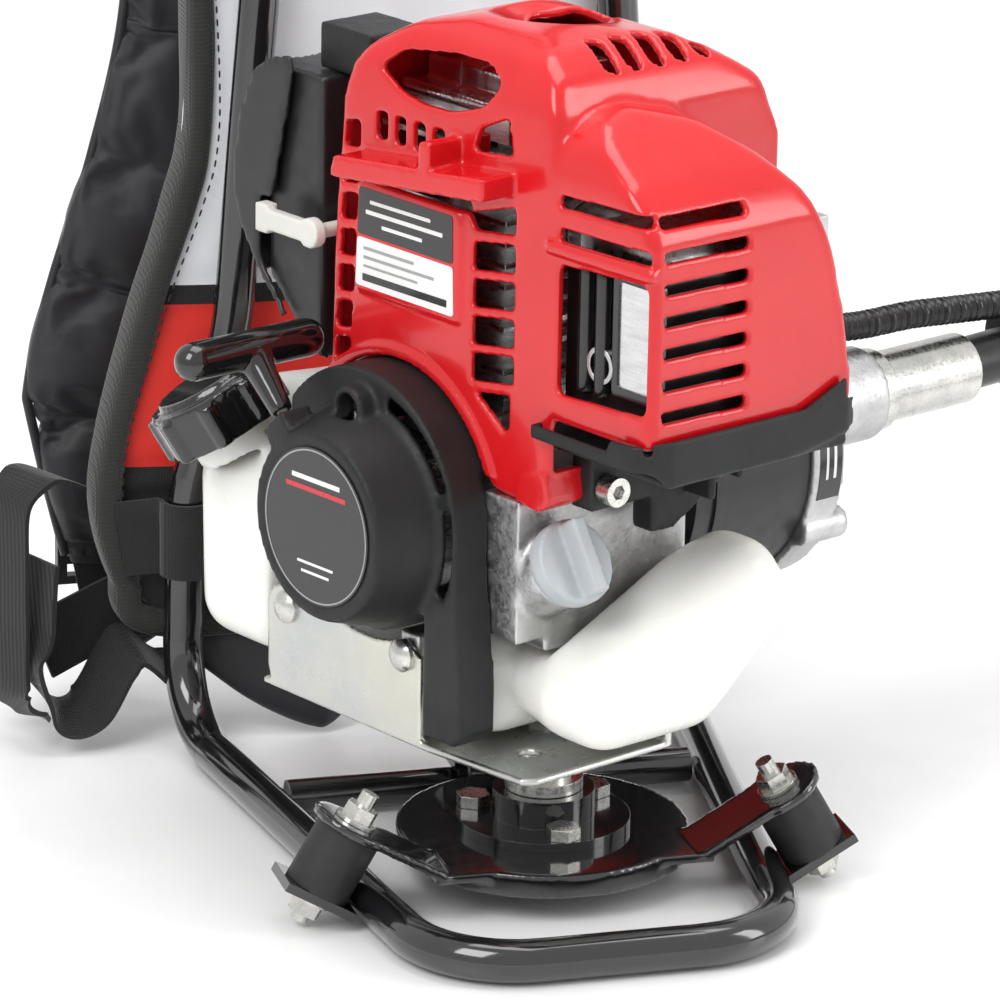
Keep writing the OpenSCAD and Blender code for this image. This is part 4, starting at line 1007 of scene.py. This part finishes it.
webs = [
    ribbon([(-108, 205, 58), (-106, 204, 48), (-104, 202, 38), (-99, 197, 31), (-91, 186, 25)],
           (-1, 0.05, 0), "strap_web_l", w=20),
    ribbon([(-122, 182, 86), (-134, 172, 93), (-141, 166, 93), (-148, 162, 86), (-149, 160, 66),
            (-149, 160, 44), (-149, 158, 22),
            (-144, 156, 14), (-136, 152, 10)], (-0.45, 0.9, 0), "strap_tail_l", w=24),
    ribbon([(-137, 160, 66), (-139, 158, 45), (-142, 156, 30), (-133, 152, 13), (-122, 150, 14),
            (-112, 152, 29), (-106, 153, 34),
            (-94, 155, 24), (-84, 158, 22)], (-0.25, 0.9, 0.35), "waist_web_l", w=24),
    ribbon([(-88, 176, 44), (-104, 174, 42), (-120, 170, 37), (-136, 166, 31)], (0, 0.1, 1), "waist_band_l",
           w=24),
    ribbon([(106, 189, 120), (109, 188, 104), (113, 184.5, 76), (113, 180, 52), (112, 177.4, 38)],
           (1.0, 0.0, 0.0), "strap_web_r"),
]
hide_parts("strap_webbing")


def waist_roll():
    """Soft roll that droops from the foot of the pad."""
    path = catmull([(-88, 168, 44), (-74, 160, 34), (-58, 154, 22), (-42, 150, 14), (-28, 149, 11)], 16)

    def section(i, s, length):
        end = math.sqrt(max(0.04, min(1, s / 9, (length - s) / 9)))
        return [(a * end, b * end * (1 + 0.1 * noise3((a / 6, s / 8, b), 4))) for a,
                b in super_section(26, 7.5, 28, 2.6)]

    ob = sweep(path, (0.2, 0.5, 0.85), section, "waist_roll")
    return finish_piece(ob, "waist_roll", "frame", M["nylon"])


waist_roll()


def tube_wrap(sx, x, z0, h, name):
    """Webbing that wraps an upright and is sewn to the pad."""
    r = 8.6
    pts = []
    for k in range(25):
        a = math.radians(-200 + 220 * k / 24)
        pts.append((sx * (x + r * math.cos(a)), 146 + r * math.sin(a), z0 + h / 2))
    path = [(sx * (x - 26), 153.2, z0 + h / 2 - 1)] + pts + ([(sx * (x + 22), 153.2, z0 + h / 2 - 2)]
                                                             if sx < 0 else [])
    path = [np.array(p, float) for p in path]
    ob = sweep(path, (0, 0, 1), flat_section(h, 1.5), name)
    return finish_piece(ob, name, "frame", M["webbing"])


wraps = [tube_wrap(sx, x, z, 27, "tube_wrap_%s%d" % ("lr"[sx > 0], i))
         for sx in (-1, 1) for i, (x, z) in enumerate(((88, 62), (62, 300)))]
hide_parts("tube_loops")

# ---------------------------------------------------------------- finishes of the CAD nodes that stay
FINISH = {
    "frame_tube": "black_paint", "cross_tube": "black_paint", "hub_flange": "black_paint",
    "rubber_mounts": "rubber",
    "mount_studs": "zinc", "hub_bolts": "zinc", "bracket_bolts": "zinc", "housing_screws": "zinc",
    "hose_ferrule": "zinc",
    "pivot_post": "zinc", "pivot_bush": "bronze", "strap_buckles": "plastic", "cylinder": "machined",
    "muffler": "steel",
    "heat_shield": "heat", "air_filter": "foam", "spark_plug": "porcelain", "ignition_coil": "plastic",
    "drive_cover": "plastic", "grip_housing": "plastic",
    "drive_hose": "hose", "head_tip": "steel", "crankshaft": "steel", "flywheel": "machined",
    "clutch_shoes": "steel",
    "clutch_drum": "steel", "flex_core": "steel", "head_rotor": "steel", "piston": "machined",
    "connecting_rod": "machined",
    "camshaft": "steel", "starter_reel": "plastic", "starter_rope": "rope", "stop_switch": "switch",
}
for node, mat in FINISH.items():
    ob = NODES[node]
    ob.data.materials.clear()
    ob.data.materials.append(M[mat])

# ---------------------------------------------------------------- stage
me = bpy.data.meshes.new("floor")
me.from_pydata([(-6, -6, -0.0005), (6, -6, -0.0005), (6, 9, -0.0005), (-6, 9, -0.0005)], [], [[0, 1, 2, 3]])
floor = bpy.data.objects.new("floor", me)
bpy.context.scene.collection.objects.link(floor)
me.materials.append(material("floor", (0.9, 0.9, 0.9), 0.35, grain=40, bump=0.01, var=0.01, rough_var=0.03,
                             bevel=0))

w = bpy.data.worlds.new("studio")
bpy.context.scene.world = w
w.use_nodes = True
bg = w.node_tree.nodes["Background"]
bg.inputs["Color"].default_value = (1, 1, 1, 1)
bg.inputs["Strength"].default_value = 0.85


def area(name, loc, target, size, power, shape="RECTANGLE", size_y=None):
    l = bpy.data.lights.new(name, "AREA")
    l.energy = power
    l.shape = shape
    l.size = size
    l.size_y = size_y or size
    ob = bpy.data.objects.new(name, l)
    ob.location = loc
    ob.rotation_euler = (Vector(target) - Vector(loc)).to_track_quat("-Z", "Y").to_euler()
    bpy.context.scene.collection.objects.link(ob)
    return ob


area("key", (-1.2, -0.9, 1.6), (0, 0, 0.15), 0.9, 22, size_y=1.2)
area("side", (1.6, -0.8, 0.9), (0, 0, 0.15), 0.5, 12, size_y=1.4)
area("top", (0.2, 0.2, 1.9), (0, 0, 0.1), 1.2, 14)

cam = bpy.data.cameras.new("camera")
cam.lens = 211.5
cam.sensor_width = 36
cam.clip_end = 50
cob = bpy.data.objects.new("camera", cam)
bpy.context.scene.collection.objects.link(cob)
rx = Vector((0.9629, -0.2692, 0.0177))
dn = Vector((-0.0678, -0.3051, -0.9499))
fw = Vector((0.2611, 0.9135, -0.3120))
rot = Matrix((rx, -dn, -fw)).transposed()
cob.matrix_world = Matrix.Translation((-0.51496, -1.74267, 0.72570)) @ rot.to_4x4()
bpy.context.scene.camera = cob
bpy.context.scene.view_settings.view_transform = "Standard"
bpy.context.scene.view_settings.look = "None"
bpy.context.scene.view_settings.exposure = 0.0
